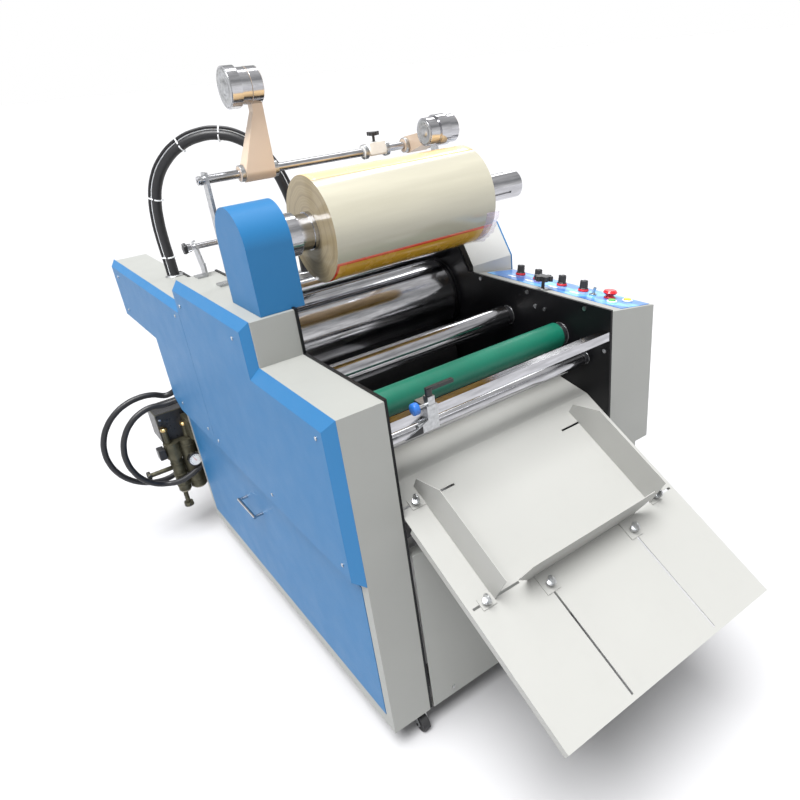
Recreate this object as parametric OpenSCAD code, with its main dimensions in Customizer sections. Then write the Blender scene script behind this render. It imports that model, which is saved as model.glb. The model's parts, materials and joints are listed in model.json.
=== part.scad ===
// Roll-film laminator with a hand-fed sheet table.
// The machine stands on casters. +X is to the operator's right, the operator stands at the
// low-Y end and faces +Y, and +Z is up. The origin is on the floor under the middle of the
// machine's outline. All sizes are in millimetres.

/* [Machine body] */
// Clear width between the two side cabinets
inner_w = 700; // [640:10:900]
// Width of each side cabinet
col_w = 114; // [100:2:140]
// Thickness of the steel side plates
plate_t = 7; // [6:1:12]
// Height of the cabinets' underside above the floor
body_z = 70; // [68:1:90]
// Height of the front part of the cabinets
front_top = 1010; // [990:5:1040]
// Height of the raised part of the cabinets
raised_top = 1125; // [1110:5:1140]
// Depth at which the left cabinet steps up
left_step = 378; // [350:2:385]
// Depth at which the right cabinet steps up
right_step = 575; // [560:5:600]
// Depth of the cabinets at floor level
body_d = 1344; // [1320:4:1360]
// Depth of the rear overhang
rear_d = 1790; // [1700:10:1850]
// Height of the rear overhang
rear_top = 1049; // [1030:1:1060]
// Underside of the rear overhang
overhang_z = 839; // [800:1:860]
// Lower edge of the upper side covers
cover_z = 575; // [560:5:600]
// How far the upper side covers stand proud of the cabinets
cover_out = 20; // [14:1:24]
// Sheet metal thickness of the casings
sheet = 2; // [1.5:0.5:3]

/* [Rollers] */
// Radius of the heated chrome roller
heat_r = 115; // [100:1:120]
// Height of the heated roller's axis
heat_z = 912; // [900:1:915]
// Depth of the heated roller's axis
heat_y = 769; // [760:1:780]
// Radius of the rubber pressure roller
press_r = 80; // [60:1:90]
// Travel of the pressure roller from open to closed
press_lift = 12; // [8:1:15]
// Radius of the green feed roller
feed_r = 36; // [30:1:40]
// Radius of the chrome guide roller behind it
guide_r = 33; // [28:1:36]
// Radius of the front chrome roller
front_r = 19; // [15:1:22]

/* [Film] */
// Radius of the film roll
roll_r = 131; // [80:1:131]
// Radius of the air shaft that carries the film roll
shaft_r = 38; // [36:0.5:38]
// Height of the air shaft's axis
shaft_z = 1276; // [1270:1:1280]
// Depth of the air shaft's axis
shaft_y = 475; // [470:1:480]
// Width of the film roll
roll_w = 490; // [300:10:490]

/* [Feed table] */
// Width of the feed table
tray_w = 684; // [600:4:684]
// Length of the table's flat part along its slope
tray_l = 683; // [600:1:700]
// Slope of the feed table in degrees
tray_tilt = 29.5; // [25:0.5:32]
// Height of the table's front edge
tray_z = 413; // [400:1:430]

/* [Hidden] */

$fn = 64;

// Outline of the whole machine, which the origin is centred under
hose_reach = 776;
panel_w = 165;
x_mid = (inner_w / 2 + panel_w - hose_reach) / 2;
tray_run = tray_l * cos(tray_tilt);
tray_front = 82 - tray_run;
tray_lip = 3;
y_mid = (rear_d + tray_front - tray_lip) / 2;

// Side cabinets, bays and gaps
in_x = inner_w / 2;
out_x = in_x + col_w;
plate_x = in_x - plate_t;
roller_half = plate_x - 4;
out_bearing = in_x + 18;
hub_l = 15;
panel_x = in_x + panel_w;
panel_drop = 26;
bevel = 40;
door_edge = 33;
door_gap = 1.5;
fit = 0.05;

// Places of the rollers, as depth and height
press_y = heat_y;
press_z = heat_z - heat_r - press_r - press_lift - 0.5;
guide_y = 410;
guide_z = 910;
feed_y = 184;
feed_z = 906;
front_y = 90;
front_z = 858;
film_guide_y = 720;
film_guide_z = 1068;
film_guide_r = 26;
journal = 10;
heat_journal = 25;
press_journal = 20;

// Pivot bar behind the film roll, and the arms that swing on it
bar_y = 750;
bar_z = 1400;
bar_r = 11;
arm_l = 205;
arm_down = 76.5;
rod_y = 930;
rod_z = 1205;
rod_r = 8;

// Lay bar at the front of the machine
lay_y = 14;
lay_z = 943;
lay_s = 24;

// Casters
caster_x = in_x + 22;
caster_y = 42;
caster_trail = 26;
caster_r = 25;
rear_caster_y = 1280;

module place() translate([-x_mid, -y_mid, 0]) children();

// An outline of depth and height points, extruded from x0 to x1
module side_profile(x0, x1, points)
  translate([x0, 0, 0]) rotate([90, 0, 90]) linear_extrude(height = x1 - x0) polygon(points);

// An outline of width and height points, extruded from y0 to y1
module front_profile(y0, y1, points)
  translate([0, y1, 0]) rotate([90, 0, 0]) linear_extrude(height = y1 - y0) polygon(points);

module box(low, high)
  translate(low) cube(high - low);

module rod(x0, x1, y, z, r)
  translate([x0, y, z]) rotate([0, 90, 0]) cylinder(h = x1 - x0, r = r);

// A box or a rod on the left (side -1) or on the right (side 1), from x0 outwards to x1
module side_box(side, x0, x1, low, high)
  box([side > 0 ? x0 : -x1, low[0], low[1]], [side > 0 ? x1 : -x0, high[0], high[1]]);

module side_rod(side, x0, x1, y, z, r)
  rod(side > 0 ? x0 : -x1, side > 0 ? x1 : -x0, y, z, r);

// A roller with end hubs, and journals that end in the bearings outside the side plates
module roller(y, z, r, journal_r) {
  rod(-roller_half + hub_l, roller_half - hub_l, y, z, r);
  rod(-roller_half, roller_half, y, z, r * 0.62);
  rod(-out_bearing, out_bearing, y, z, journal_r);
}

// Things on the feed table: u along its slope, h above the underside of its sheet
module on_tray(x = 0, u = 0, h = 0)
  translate([x, tray_front, tray_z]) rotate([tray_tilt, 0, 0]) translate([0, u, h]) children();

module star(r, h, lobes = 5) {
  cylinder(h = h, r = r * 0.68);
  for (i = [0 : lobes - 1])
    rotate([0, 0, i * 360 / lobes]) translate([r * 0.72, 0, 0]) cylinder(h = h, r = r * 0.28);
}

// Wing screw that clamps a foot to the table: its nut is under the sheet
module clamp_screw() {
  translate([0, 0, -8]) cylinder(h = 11, r = 2.5);
  translate([0, 0, -12]) cylinder(h = 4.5, r = 9);
  translate([0, 0, tray_t + 2.8]) {
    cylinder(h = 8, r = 6);
    translate([0, 0, 8]) cylinder(h = 4, r = 9);
    translate([-1.5, -11, 12]) cube([3, 22, 13]);
  }
}

// ---------------------------------------------------------------- frame and side plates

module base_frame() place() color("dimgray") {
  for (side = [-1, 1])
    for (y = [60, 1264])
      side_box(side, plate_x - 40, plate_x, [y, body_z + 6], [y + 40, body_z + 46]);
  for (y = [60, 660, 1264])
    box([-plate_x + 40, y, body_z + 6], [plate_x - 40, y + 40, body_z + 46]);
  rod(-plate_x, plate_x, 300, 700, 16);
  rod(-plate_x, plate_x, 1180, 860, 16);
  rod(-plate_x, plate_x, 1000, 500, 16);
  for (side = [-1, 1]) {
    caster_mount(side);
    rear_caster_fork(side);
  }
}

// Top plate and swivel head that the front caster turns in
module caster_mount(side)
  translate([side * caster_x, caster_y, 0]) {
    translate([-30, -30, body_z - 3]) cube([60, 60, 3]);
    translate([0, 0, body_z - 9]) cylinder(h = 6, r = 18);
  }

module rear_caster_fork(side)
  translate([side * caster_x, rear_caster_y, 0]) {
    translate([-30, -30, body_z - 3]) cube([60, 60, 3]);
    for (x = [-15, 12])
      translate([x, -12, caster_r - 8]) cube([3, 24, body_z - 3 - caster_r + 8]);
    translate([-18, 0, caster_r]) rotate([0, 90, 0]) cylinder(h = 36, r = 4);
  }

left_plate_points = [
  [0, body_z + 5], [0, front_top + 4], [left_step - 4, front_top + 4],
  [left_step - 4, raised_top + 4], [926, raised_top + 4], [926, rear_top + 4],
  [body_d - 4, rear_top + 4], [body_d - 4, body_z + 5]
];
right_plate_points = [
  [0, body_z + 5], [0, front_top + 4], [right_step + 21, front_top + 4],
  [right_step + 65, 1086], [926, 1086], [926, rear_top + 4],
  [body_d - 4, rear_top + 4], [body_d - 4, body_z + 5]
];

// Holes for the journals, the pressure roller's window and the tray's entry
module plate_holes(x0, x1) {
  rod(x0 - 1, x1 + 1, heat_y, heat_z, heat_journal + 4);
  rod(x0 - 1, x1 + 1, guide_y, guide_z, journal + 4);
  rod(x0 - 1, x1 + 1, feed_y, feed_z, journal + 4);
  rod(x0 - 1, x1 + 1, front_y, front_z, journal + 2);
  rod(x0 - 1, x1 + 1, film_guide_y, film_guide_z, journal + 4);
  box([x0 - 1, press_y - 45, press_z - 45], [x1 + 1, press_y + 45, press_z + press_lift + 45]);
}

module left_side_plate() place() color("#17181a")
  difference() {
    side_profile(-in_x, -plate_x, left_plate_points);
    plate_holes(-in_x, -plate_x);
  }

module right_side_plate() place() color("#17181a")
  difference() {
    side_profile(plate_x, in_x, right_plate_points);
    plate_holes(plate_x, in_x);
  }

// ---------------------------------------------------------------- side cabinets

module left_profile(x0, x1, t)
  side_profile(x0, x1, [
    [t, body_z + t], [t, front_top - t], [left_step + t, front_top - t],
    [left_step + t, raised_top - t], [930 - t, raised_top - t], [930 - t, rear_top - t],
    [rear_d - 25 - t, rear_top - t], [rear_d - 25 - t, overhang_z + t],
    [body_d - t, overhang_z + t], [body_d - t, body_z + t]
  ]);

// Sheet casing, open towards the side plate and behind the door and the covers
module left_cabinet() place() color("#8f918e")
  difference() {
    left_profile(-out_x, -in_x, 0);
    left_profile(-out_x + sheet, -in_x - sheet, sheet);
    intersection() {
      left_profile(-in_x - sheet - 1, -in_x + 1, sheet);
      box([-in_x - 10, 0, 0], [-in_x + 2, body_d - sheet, raised_top + 9]);
    }
    box([-out_x - 1, door_edge, body_z + 41], [-out_x + sheet + 1, body_d - 26, cover_z - 20]);
    box([-out_x - 1, 60, cover_z + 20], [-out_x + sheet + 1, 900, front_top - 60]);
    box([-out_x - 1, 960, cover_z + 20], [-out_x + sheet + 1, 1320, rear_top - 50]);
  }

module right_body(x0, x1, t)
  side_profile(x0, x1, [
    [t, body_z + t], [t, cover_z + 60], [body_d - t, cover_z + 60], [body_d - t, body_z + t]
  ]);

module right_box(y0, y1, t)
  front_profile(y0, y1, [
    [in_x - (t > 0 ? 1 : 0), cover_z + t], [panel_x - t, cover_z + t],
    [panel_x - t, front_top - panel_drop - t], [in_x - (t > 0 ? 1 : 0), front_top - t]
  ]);

module right_cabinet() place() color("#b9bab6")
  difference() {
    union() {
      right_body(in_x, out_x, 0);
      right_box(0, right_step, 0);
    }
    right_body(in_x - 1, out_x - sheet, sheet);
    right_box(sheet, right_step - sheet, sheet);
    box([out_x - sheet - 1, door_edge, body_z + 41], [out_x + 1, body_d - 26, cover_z - 40]);
    box([in_x + 50, 60, cover_z - 1], [out_x - 20, right_step - 60, cover_z + sheet + 1]);
    panel_holes();
  }

// Bevelled pressing: a wide base outline at the cabinet and a smaller face cover_out away
module bevelled(y0, y1, z0, z1, front, top, rear, shrink = 0) {
  base = 1;
  hull() {
    box([-out_x - base - shrink, y0 + shrink, z0], [-out_x - shrink, y1 - shrink, z1 - shrink]);
    box([-out_x - cover_out + shrink, y0 + front + shrink / 2, z0],
        [-out_x - cover_out + shrink + base, y1 - rear - shrink / 2, z1 - top - shrink / 2]);
  }
}

module left_upper_cover() place() color("#3f7cb4")
  difference() {
    union() {
      bevelled(0, 930, cover_z, front_top, bevel, 35, 0);
      bevelled(left_step + 6, 930, cover_z, raised_top, bevel * 0.7, 26, 0);
    }
    box([-out_x - cover_out + sheet, bevel + sheet, cover_z + sheet],
        [-out_x + 1, 930 - sheet, front_top - 40]);
    box([-out_x - cover_out + sheet, left_step + bevel + 10, front_top - 50],
        [-out_x + 1, 930 - sheet, raised_top - 30]);
  }

module left_rear_cover() place() color("#3f7cb4")
  difference() {
    union() {
      bevelled(932, rear_d, overhang_z, rear_top, 0, 20, 20);
      hull() {
        box([-out_x - cover_out, 932, cover_z], [-out_x, 1300, cover_z + 1]);
        box([-out_x - cover_out, 932, cover_z + 34], [-out_x, 1362, overhang_z]);
      }
    }
    box([-out_x - cover_out + sheet, 932 + sheet, cover_z + sheet],
        [-out_x + 1, 1298, overhang_z + 1]);
    box([-out_x - cover_out + sheet, 932 + sheet, overhang_z + sheet],
        [-out_x + 1, rear_d - 30, rear_top - 26]);
  }

right_rear_points = [
  [right_step + 1, front_top - 6], [right_step + 1, front_top + 22],
  [right_step + 66, 1133], [930, 1133], [930, rear_top], [rear_d - 25, rear_top],
  [rear_d - 25, overhang_z], [body_d, overhang_z], [body_d, cover_z + 61],
  [right_step + 1, cover_z + 61]
];
right_rear_inner = [
  [right_step + 3, front_top - 6], [right_step + 3, front_top + 21],
  [right_step + 67, 1131], [928, 1131], [928, rear_top - 2], [rear_d - 27, rear_top - 2],
  [rear_d - 27, overhang_z + 2], [body_d - 2, overhang_z + 2], [body_d - 2, cover_z + 63],
  [right_step + 3, cover_z + 63]
];

// White casing behind the control box, with a sloping front
module right_rear_cover() place() color("#e8e8e4")
  difference() {
    side_profile(in_x + 1, panel_x - 6, right_rear_points);
    side_profile(in_x + 1 + sheet, panel_x - 8, right_rear_inner);
    intersection() {
      side_profile(in_x, in_x + 2 + sheet, right_rear_inner);
      box([in_x - 1, 0, 0], [in_x + 3 + sheet, body_d - sheet, raised_top + 9]);
    }
    box([in_x - 1, right_step + 30, cover_z + 60], [out_x - 10, body_d - 30, cover_z + 64]);
  }

// Upper and lower blue panels on the right side
module right_side_panels() place() color("#3f7cb4") {
  side_profile(panel_x - 6, panel_x, right_rear_points);
  box([out_x, door_edge + door_gap, body_z + 42], [out_x + 3, body_d - 28, cover_z - 2]);
}

// ---------------------------------------------------------------- covers between the sides

module front_panel() place() color("#7d7f7c") {
  box([-plate_x + 6, 0, body_z], [plate_x - 2, sheet, 592]);
  box([-plate_x + 6, sheet, 590], [plate_x - 2, 30, 592]);
  box([-plate_x + 6, sheet, body_z], [plate_x - 2, 30, body_z + sheet]);
}

module rear_cover() place() color("#d9dad6") {
  box([-plate_x, body_d - sheet, body_z], [plate_x, body_d, 800]);
  difference() {
    side_profile(-in_x + 0.5, in_x - 0.5, [
      [1040, 980], [1040, 1018], [body_d - 80, 1018], [rear_d - 26, 900],
      [rear_d - 26, overhang_z], [rear_d - 28, overhang_z], [rear_d - 28, 898],
      [body_d - 81, 1016], [1042, 1016], [1042, 980]
    ]);
    for (side = [-1, 1])
      box([side * (in_x - 3.5) - 4, 1039, 970], [side * (in_x - 3.5) + 4, body_d - 3, 1030]);
  }
}

// ---------------------------------------------------------------- control panel

// Slope of the control box's top, down to the right
panel_tilt = atan(panel_drop / panel_w);
module on_panel(x, y)
  translate([in_x + x, y, front_top - x * tan(panel_tilt)]) rotate([0, panel_tilt, 0]) children();

knob_y = [478, 398, 296, 209];
knob_x = 112;
toggle_at = [100, 161];
stop_at = [112, 110];
jog_at = [125, 58];
start_at = [78, 72];
hand_at = [26, 287];

// Round holes under the controls, through the panel and the casing below it
module panel_hole(x, y, r)
  on_panel(x, y) translate([0, 0, -6]) cylinder(h = 13, r = r);

module panel_holes() {
  for (y = knob_y)
    panel_hole(knob_x, y, 3.5);
  panel_hole(toggle_at[0], toggle_at[1], 6.5);
  panel_hole(stop_at[0], stop_at[1], 11.5);
  panel_hole(jog_at[0], jog_at[1], 8.5);
  panel_hole(start_at[0], start_at[1], 8.5);
  panel_hole(hand_at[0], hand_at[1], 5.5);
}

module control_panel() place() color("#4d8fd0")
  difference() {
    on_panel(0, 0) translate([44, 9, 0.1]) cube([114, 551, 1.5]);
    panel_holes();
  }

module rotary_knob(y) place() color("#1c1c1e")
  on_panel(knob_x, y) {
    translate([0, 0, -4]) cylinder(h = 12, r = 3);
    translate([0, 0, 8]) cylinder(h = 3, r = 14);
    translate([0, 0, 11]) cylinder(h = 22, r1 = 12, r2 = 11);
    translate([-1, 4, 33]) cube([2, 6, 1]);
  }
module speed_knob() rotary_knob(knob_y[0]);
module pressure_knob() rotary_knob(knob_y[1]);
module heat_knob() rotary_knob(knob_y[2]);
module tension_knob() rotary_knob(knob_y[3]);

module handwheel() place() color("#1c1c1e")
  on_panel(hand_at[0], hand_at[1]) {
    translate([0, 0, -4]) cylinder(h = 30, r = 5);
    translate([0, 0, 26]) star(28, 14, 6);
  }

module toggle_switch() place() color("silver")
  on_panel(toggle_at[0], toggle_at[1]) {
    sphere(r = 6);
    rotate([14, 0, 0]) cylinder(h = 24, r1 = 3, r2 = 4.5);
  }

module stop_button() place() color("#c8202a")
  on_panel(stop_at[0], stop_at[1]) {
    translate([0, 0, -4]) cylinder(h = 16, r = 11);
    translate([0, 0, 12]) cylinder(h = 5, r1 = 15, r2 = 20);
    translate([0, 0, 17]) cylinder(h = 7, r1 = 20, r2 = 16);
  }

module push_button(at)
  on_panel(at[0], at[1]) {
    translate([0, 0, -4]) cylinder(h = 10, r = 8);
    translate([0, 0, 6]) cylinder(h = 3, r = 10);
  }
module start_button() place() color("#4caf50") push_button(start_at);
module jog_button() place() color("#e8c21f") push_button(jog_at);

// ---------------------------------------------------------------- rollers and bearings

module heated_roller() place() color("silver")
  difference() {
    union() {
      rod(-roller_half + hub_l, roller_half - hub_l, heat_y, heat_z, heat_r);
      rod(-roller_half, roller_half, heat_y, heat_z, heat_r - 17);
      rod(-in_x - 60, out_bearing, heat_y, heat_z, heat_journal);
    }
    rod(-roller_half + hub_l + 14, roller_half - hub_l - 14, heat_y, heat_z, heat_r - 14);
    rod(-in_x - 61, out_bearing + 1, heat_y, heat_z, 12);
  }

module pressure_roller() place() color("#26272a")
  difference() {
    union() {
      rod(-roller_half, roller_half, press_y, press_z, press_r);
      rod(-out_bearing, out_bearing, press_y, press_z, press_journal);
    }
    rod(-roller_half + 12, roller_half - 12, press_y, press_z, press_r - 18);
  }

// Distance of the lifting cylinders' axes from the middle
cyl_x = in_x + 20;

// Blocks that carry the pressure roller and ride up and down in the plates' windows
module pressure_blocks() place() color("gray")
  for (side = [-1, 1])
    difference() {
      union() {
        side_box(side, plate_x, in_x, [press_y - 44, press_z - 36], [press_y + 44, press_z + 32]);
        side_box(side, in_x + 1, in_x + 34, [press_y - 36, press_z - 36], [press_y + 36, press_z + 32]);
        side_box(side, in_x, in_x + 1, [press_y - 30, press_z - 30], [press_y + 30, press_z + 30]);
        translate([side * cyl_x, press_y, press_z - 110]) cylinder(h = 74, r = 8);
      }
      rod(-out_bearing - 9, out_bearing + 9, press_y, press_z, press_journal + fit);
    }

// Hydraulic cylinders that push the blocks up, on brackets bolted to the side plates
module pressure_cylinders() place() color("#2f3134")
  for (side = [-1, 1])
    difference() {
      union() {
        translate([side * cyl_x, press_y, press_z - 230]) cylinder(h = 170, r = 18);
        side_box(side, in_x, in_x + 40, [press_y - 35, press_z - 240], [press_y + 35, press_z - 230]);
      }
      translate([side * cyl_x, press_y, press_z - 125]) cylinder(h = 100, r = 8 + fit);
    }

// Flange bearing on the outer face of a side plate
module bearing(side, y, z, r, flange, depth)
  difference() {
    union() {
      side_rod(side, in_x, in_x + 6, y, z, flange);
      side_rod(side, in_x, in_x + depth, y, z, flange * 0.7);
    }
    rod(-in_x - depth - 1, in_x + depth + 1, y, z, r + fit);
  }

module roller_bearings() place() color("dimgray") {
  for (side = [-1, 1]) {
    bearing(side, heat_y, heat_z, heat_journal, 56, 16);
    bearing(side, guide_y, guide_z, journal, 30, 16);
    bearing(side, feed_y, feed_z, journal, 30, 16);
    bearing(side, front_y, front_z, journal - 2, 24, 16);
    bearing(side, film_guide_y, film_guide_z, journal, 28, 16);
  }
  film_shaft_housing();
}

module guide_roller() place() color("silver") {
  roller(guide_y, guide_z, guide_r, journal);
}

module feed_roller() place() color("#1f9b74") roller(feed_y, feed_z, feed_r, journal);

module front_roller() place() color("silver")
  roller(front_y, front_z, front_r, journal - 2);

// Gearbox round the heated roller's left journal, with its motor along the cabinet
module drive_motor() place() color("#3a4a5c") {
  difference() {
    translate([-in_x - 62, heat_y - 62, heat_z - 70]) cube([40, 124, 140]);
    rod(-in_x - 63, -in_x - 21, heat_y, heat_z, heat_journal + fit);
  }
  translate([-in_x - 56, heat_y + 61.9, heat_z]) rotate([-90, 0, 0]) cylinder(h = 12, r = 40);
  translate([-in_x - 56, heat_y + 73.9, heat_z]) rotate([-90, 0, 0]) cylinder(h = 190, r = 46);
  box([-in_x - 76, heat_y + 110, heat_z + 40], [-in_x - 36, heat_y + 190, heat_z + 64]);
}

// ---------------------------------------------------------------- film unwind

cap_r = 89;
cap_x0 = -430;
cap_x1 = -315;

module cap_profile(x0, x1, r)
  intersection() {
    union() {
      rod(x0, x1, shaft_y + 4, shaft_z + 4, r);
      box([x0, shaft_y + 4 - r, raised_top + 0.5], [x1, shaft_y + 4 + r, shaft_z + 4]);
    }
    box([x0, 0, raised_top + 0.5], [x1, 1000, 1500]);
  }

module film_shaft_cap() place() color("#3f7cb4")
  difference() {
    cap_profile(cap_x0, cap_x1, cap_r);
    cap_profile(cap_x0 + sheet, cap_x1 - sheet, cap_r - sheet);
    rod(cap_x1 - 5, cap_x1 + 1, shaft_y, shaft_z, 56);
    box([cap_x0 + 8, shaft_y - 70, raised_top - 1], [cap_x1 - 8, shaft_y + 70, raised_top + 4]);
    box([-in_x - 0.5, 0, raised_top - 1], [-plate_x + 0.5, 1000, raised_top + 4.5]);
  }

// Pedestal inside the cap that holds the cantilevered shaft
module film_shaft_housing()
  difference() {
    union() {
      rod(-420, -330, shaft_y, shaft_z, 42);
      box([-400, shaft_y - 30, raised_top + 5], [-350, shaft_y + 30, shaft_z]);
    }
    rod(-421, -329, shaft_y, shaft_z, 20 + fit);
  }

roll_x0 = -225;
roll_x1 = roll_x0 + roll_w;

module film_shaft() place() color("silver")
  difference() {
    union() {
      rod(-424, -320, shaft_y, shaft_z, 20);
      rod(-322, -272, shaft_y, shaft_z, 52);
      rod(-272, -236, shaft_y, shaft_z, 44);
      rod(-236, -226, shaft_y, shaft_z, 47);
      rod(-226, 268, shaft_y, shaft_z, shaft_r - 0.4);
      rod(268, 447, shaft_y, shaft_z, shaft_r);
    }
    for (a = [20, 140, 260])
      for (x = [-190, 60, 310])
        translate([x, shaft_y, shaft_z]) rotate([a, 0, 0])
          translate([0, -shaft_r - 1, -3]) cube([95, 5, 6]);
    rod(435, 448, shaft_y, shaft_z, 7);
  }

module film_roll() place() color("#efeee4")
  difference() {
    rod(roll_x0, roll_x1, shaft_y, shaft_z, roll_r);
    rod(roll_x0 - 1, roll_x1 + 1, shaft_y, shaft_z, shaft_r + 0.2);
  }

// ---------------------------------------------------------------- rear bars and arms

module rear_bars() place() color("silver") {
  rod(-388, 388, bar_y, bar_z, bar_r);
  rod(-400, 400, rod_y, rod_z, rod_r);
  rod(-412, -400, rod_y, rod_z, 12);
  difference() {
    rod(-roller_half, roller_half, film_guide_y, film_guide_z, film_guide_r);
    rod(-roller_half + 10, roller_half - 10, film_guide_y, film_guide_z, film_guide_r - 4);
  }
  rod(-in_x - 15, -roller_half, film_guide_y, film_guide_z, journal);
  rod(roller_half, in_x + 15, film_guide_y, film_guide_z, journal);
}

// Height at which the brackets stand: the right casing is a little taller than the left one
function stand_z(side) = raised_top + (side > 0 ? 8.5 : 0.5);

// Upright flat bars and angle brackets on top of the cabinets
module rear_brackets() place() color("gainsboro") {
  for (side = [-1, 1])
    difference() {
      union() {
        side_box(side, 362, 370, [bar_y - 16, stand_z(side)], [bar_y + 16, bar_z + 18]);
        side_box(side, 362, 402, [bar_y - 16, stand_z(side)], [bar_y + 16, stand_z(side) + 6]);
      }
      rod(-380, 380, bar_y, bar_z, bar_r + 0.02);
    }
  for (side = [-1, 1])
    difference() {
      union() {
        side_box(side, 384, 390, [rod_y - 50, stand_z(side)], [rod_y - 12, raised_top + 40]);
        hull() {
          side_box(side, 384, 390, [rod_y - 50, raised_top + 20], [rod_y - 12, raised_top + 30]);
          side_rod(side, 384, 390, rod_y, rod_z, 18);
        }
        side_box(side, 384, 416, [rod_y - 50, stand_z(side)], [rod_y - 12, stand_z(side) + 4]);
      }
      rod(-392, 392, rod_y, rod_z, rod_r + 0.02);
    }
}

// Tapered arm that stands up from the pivot bar, with its eye round the bar
module arm(x0, x1, top_x0, top_x1, head_r)
  difference() {
    union() {
      hull() {
        rod(x0, x1, bar_y, bar_z, 24);
        box([top_x0, bar_y - 13, bar_z + arm_l - 62], [top_x1, bar_y + 13, bar_z + arm_l - 61]);
      }
      box([top_x0, bar_y - 13, bar_z + arm_l - 62], [top_x1, bar_y + 13, bar_z + arm_l - 20]);
      rod(x0 - 12, x1 + 12, bar_y, bar_z, 19);
      rod(top_x0, top_x1, bar_y, bar_z + arm_l, head_r);
    }
    rod(x0 - 13, x1 + 13, bar_y, bar_z, bar_r + fit);
    rod(top_x0 - 1, top_x1 + 1, bar_y, bar_z + arm_l, 10 + fit);
  }

// Grooved press wheel with its axle, to the left of the arm's head
module press_wheel(x0, x1, r1, r2, arm_end)
  let (mid = x0 + (x1 - x0) * 0.5) {
    rod(x0, mid, bar_y, bar_z + arm_l, r1);
    rod(mid, x1, bar_y, bar_z + arm_l, r2);
    rod(x1, arm_end, bar_y, bar_z + arm_l, 10);
  }

module lowered() translate([0, bar_y, bar_z]) rotate([arm_down, 0, 0])
  translate([0, -bar_y, -bar_z]) children();

module left_arm() place() color("#d8c4ae") arm(-262, -180, -206, -176, 44);
module left_press_wheel() place() color("silver") press_wheel(-262, -207, 50, 44, -172);
module right_arm() place() color("#d8c4ae") lowered() arm(262, 330, 262, 290, 36);
module right_press_wheel() place() color("silver") lowered() press_wheel(196, 261, 36, 41, 294);

// ---------------------------------------------------------------- slitter

slit_x = 150;
module slitter_holder() place() color("whitesmoke")
  difference() {
    union() {
      box([slit_x - 26, bar_y - 20, bar_z - 8], [slit_x + 26, bar_y + 20, bar_z + 24]);
      rod(slit_x - 42, slit_x + 42, bar_y, bar_z, 18);
    }
    rod(slit_x - 43, slit_x + 43, bar_y, bar_z, bar_r + fit);
    translate([slit_x, bar_y, bar_z + 14]) cylinder(h = 12, r = 4 + fit);
    box([slit_x - 50, bar_y - 30, bar_z - 25], [slit_x + 50, bar_y + 30, bar_z - 13.3]);
  }

module slitter_knob() place() color("#1c1c1e")
  translate([slit_x, bar_y, bar_z + 15]) {
    cylinder(h = 26, r = 4);
    translate([0, 0, 26]) star(20, 10, 3);
  }

// ---------------------------------------------------------------- lay bar and lay gauge

module lay_bar() place() color("silver")
  box([-plate_x, lay_y - lay_s / 2, lay_z - lay_s / 2],
      [plate_x, lay_y + lay_s / 2, lay_z + lay_s / 2]);

gauge_x = -242;
gauge_gap = 0.3;
module lay_gauge() place() color("silver")
  difference() {
    union() {
      box([gauge_x - 14, lay_y - 28, lay_z - 34], [gauge_x + 14, lay_y + 22, lay_z + 24]);
      box([gauge_x - 9, lay_y - 27, lay_z + 24], [gauge_x + 9, lay_y - 9, lay_z + 44]);
      translate([gauge_x - 40, lay_y - 20, lay_z - 20]) rotate([0, 90, 0]) cylinder(h = 26, r = 7);
      translate([gauge_x - 40, lay_y - 20, lay_z + 26]) rotate([0, 90, 0]) cylinder(h = 31, r = 4);
      translate([gauge_x - 46, lay_y - 20, lay_z + 26]) rotate([0, 90, 0]) cylinder(h = 12, r = 13);
      front_profile(lay_y - 28, lay_y - 24, [
        [gauge_x - 78, lay_z - 34], [gauge_x - 14, lay_z - 34], [gauge_x - 14, lay_z - 8]
      ]);
    }
    box([gauge_x - 15, lay_y - lay_s / 2 - gauge_gap, lay_z - lay_s / 2 - gauge_gap],
        [gauge_x + 15, lay_y + lay_s / 2 + gauge_gap, lay_z + lay_s / 2 + gauge_gap]);
    translate([gauge_x, lay_y - 18, lay_z + 30]) cylinder(h = 20, r = 4 + fit);
  }

module lay_gauge_lever() place() color("#1c1c1e")
  translate([gauge_x, lay_y - 18, lay_z + 31]) {
    cylinder(h = 20, r = 4);
    translate([0, 0, 14]) cylinder(h = 16, r = 8);
    translate([-6, -5, 24]) cube([72, 10, 8]);
  }

// ---------------------------------------------------------------- feed table

tray_t = 2;
bend_run = 108;
bend_tilt = 11;

// Slots for the side guides' screws, across the table, and for the back stop's, along it
slot_u = [334, 614];
slot_x = 142;
slot_w = 6;

module slot_cut(x, u, size_x, size_u)
  translate([x, u, 0]) cube([size_x, size_u, 40], center = true);

// Height just inside the table's sheet at a given depth
function table_under(y) = tray_z + 0.5 + (y - tray_front) * tan(tray_tilt);

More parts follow.
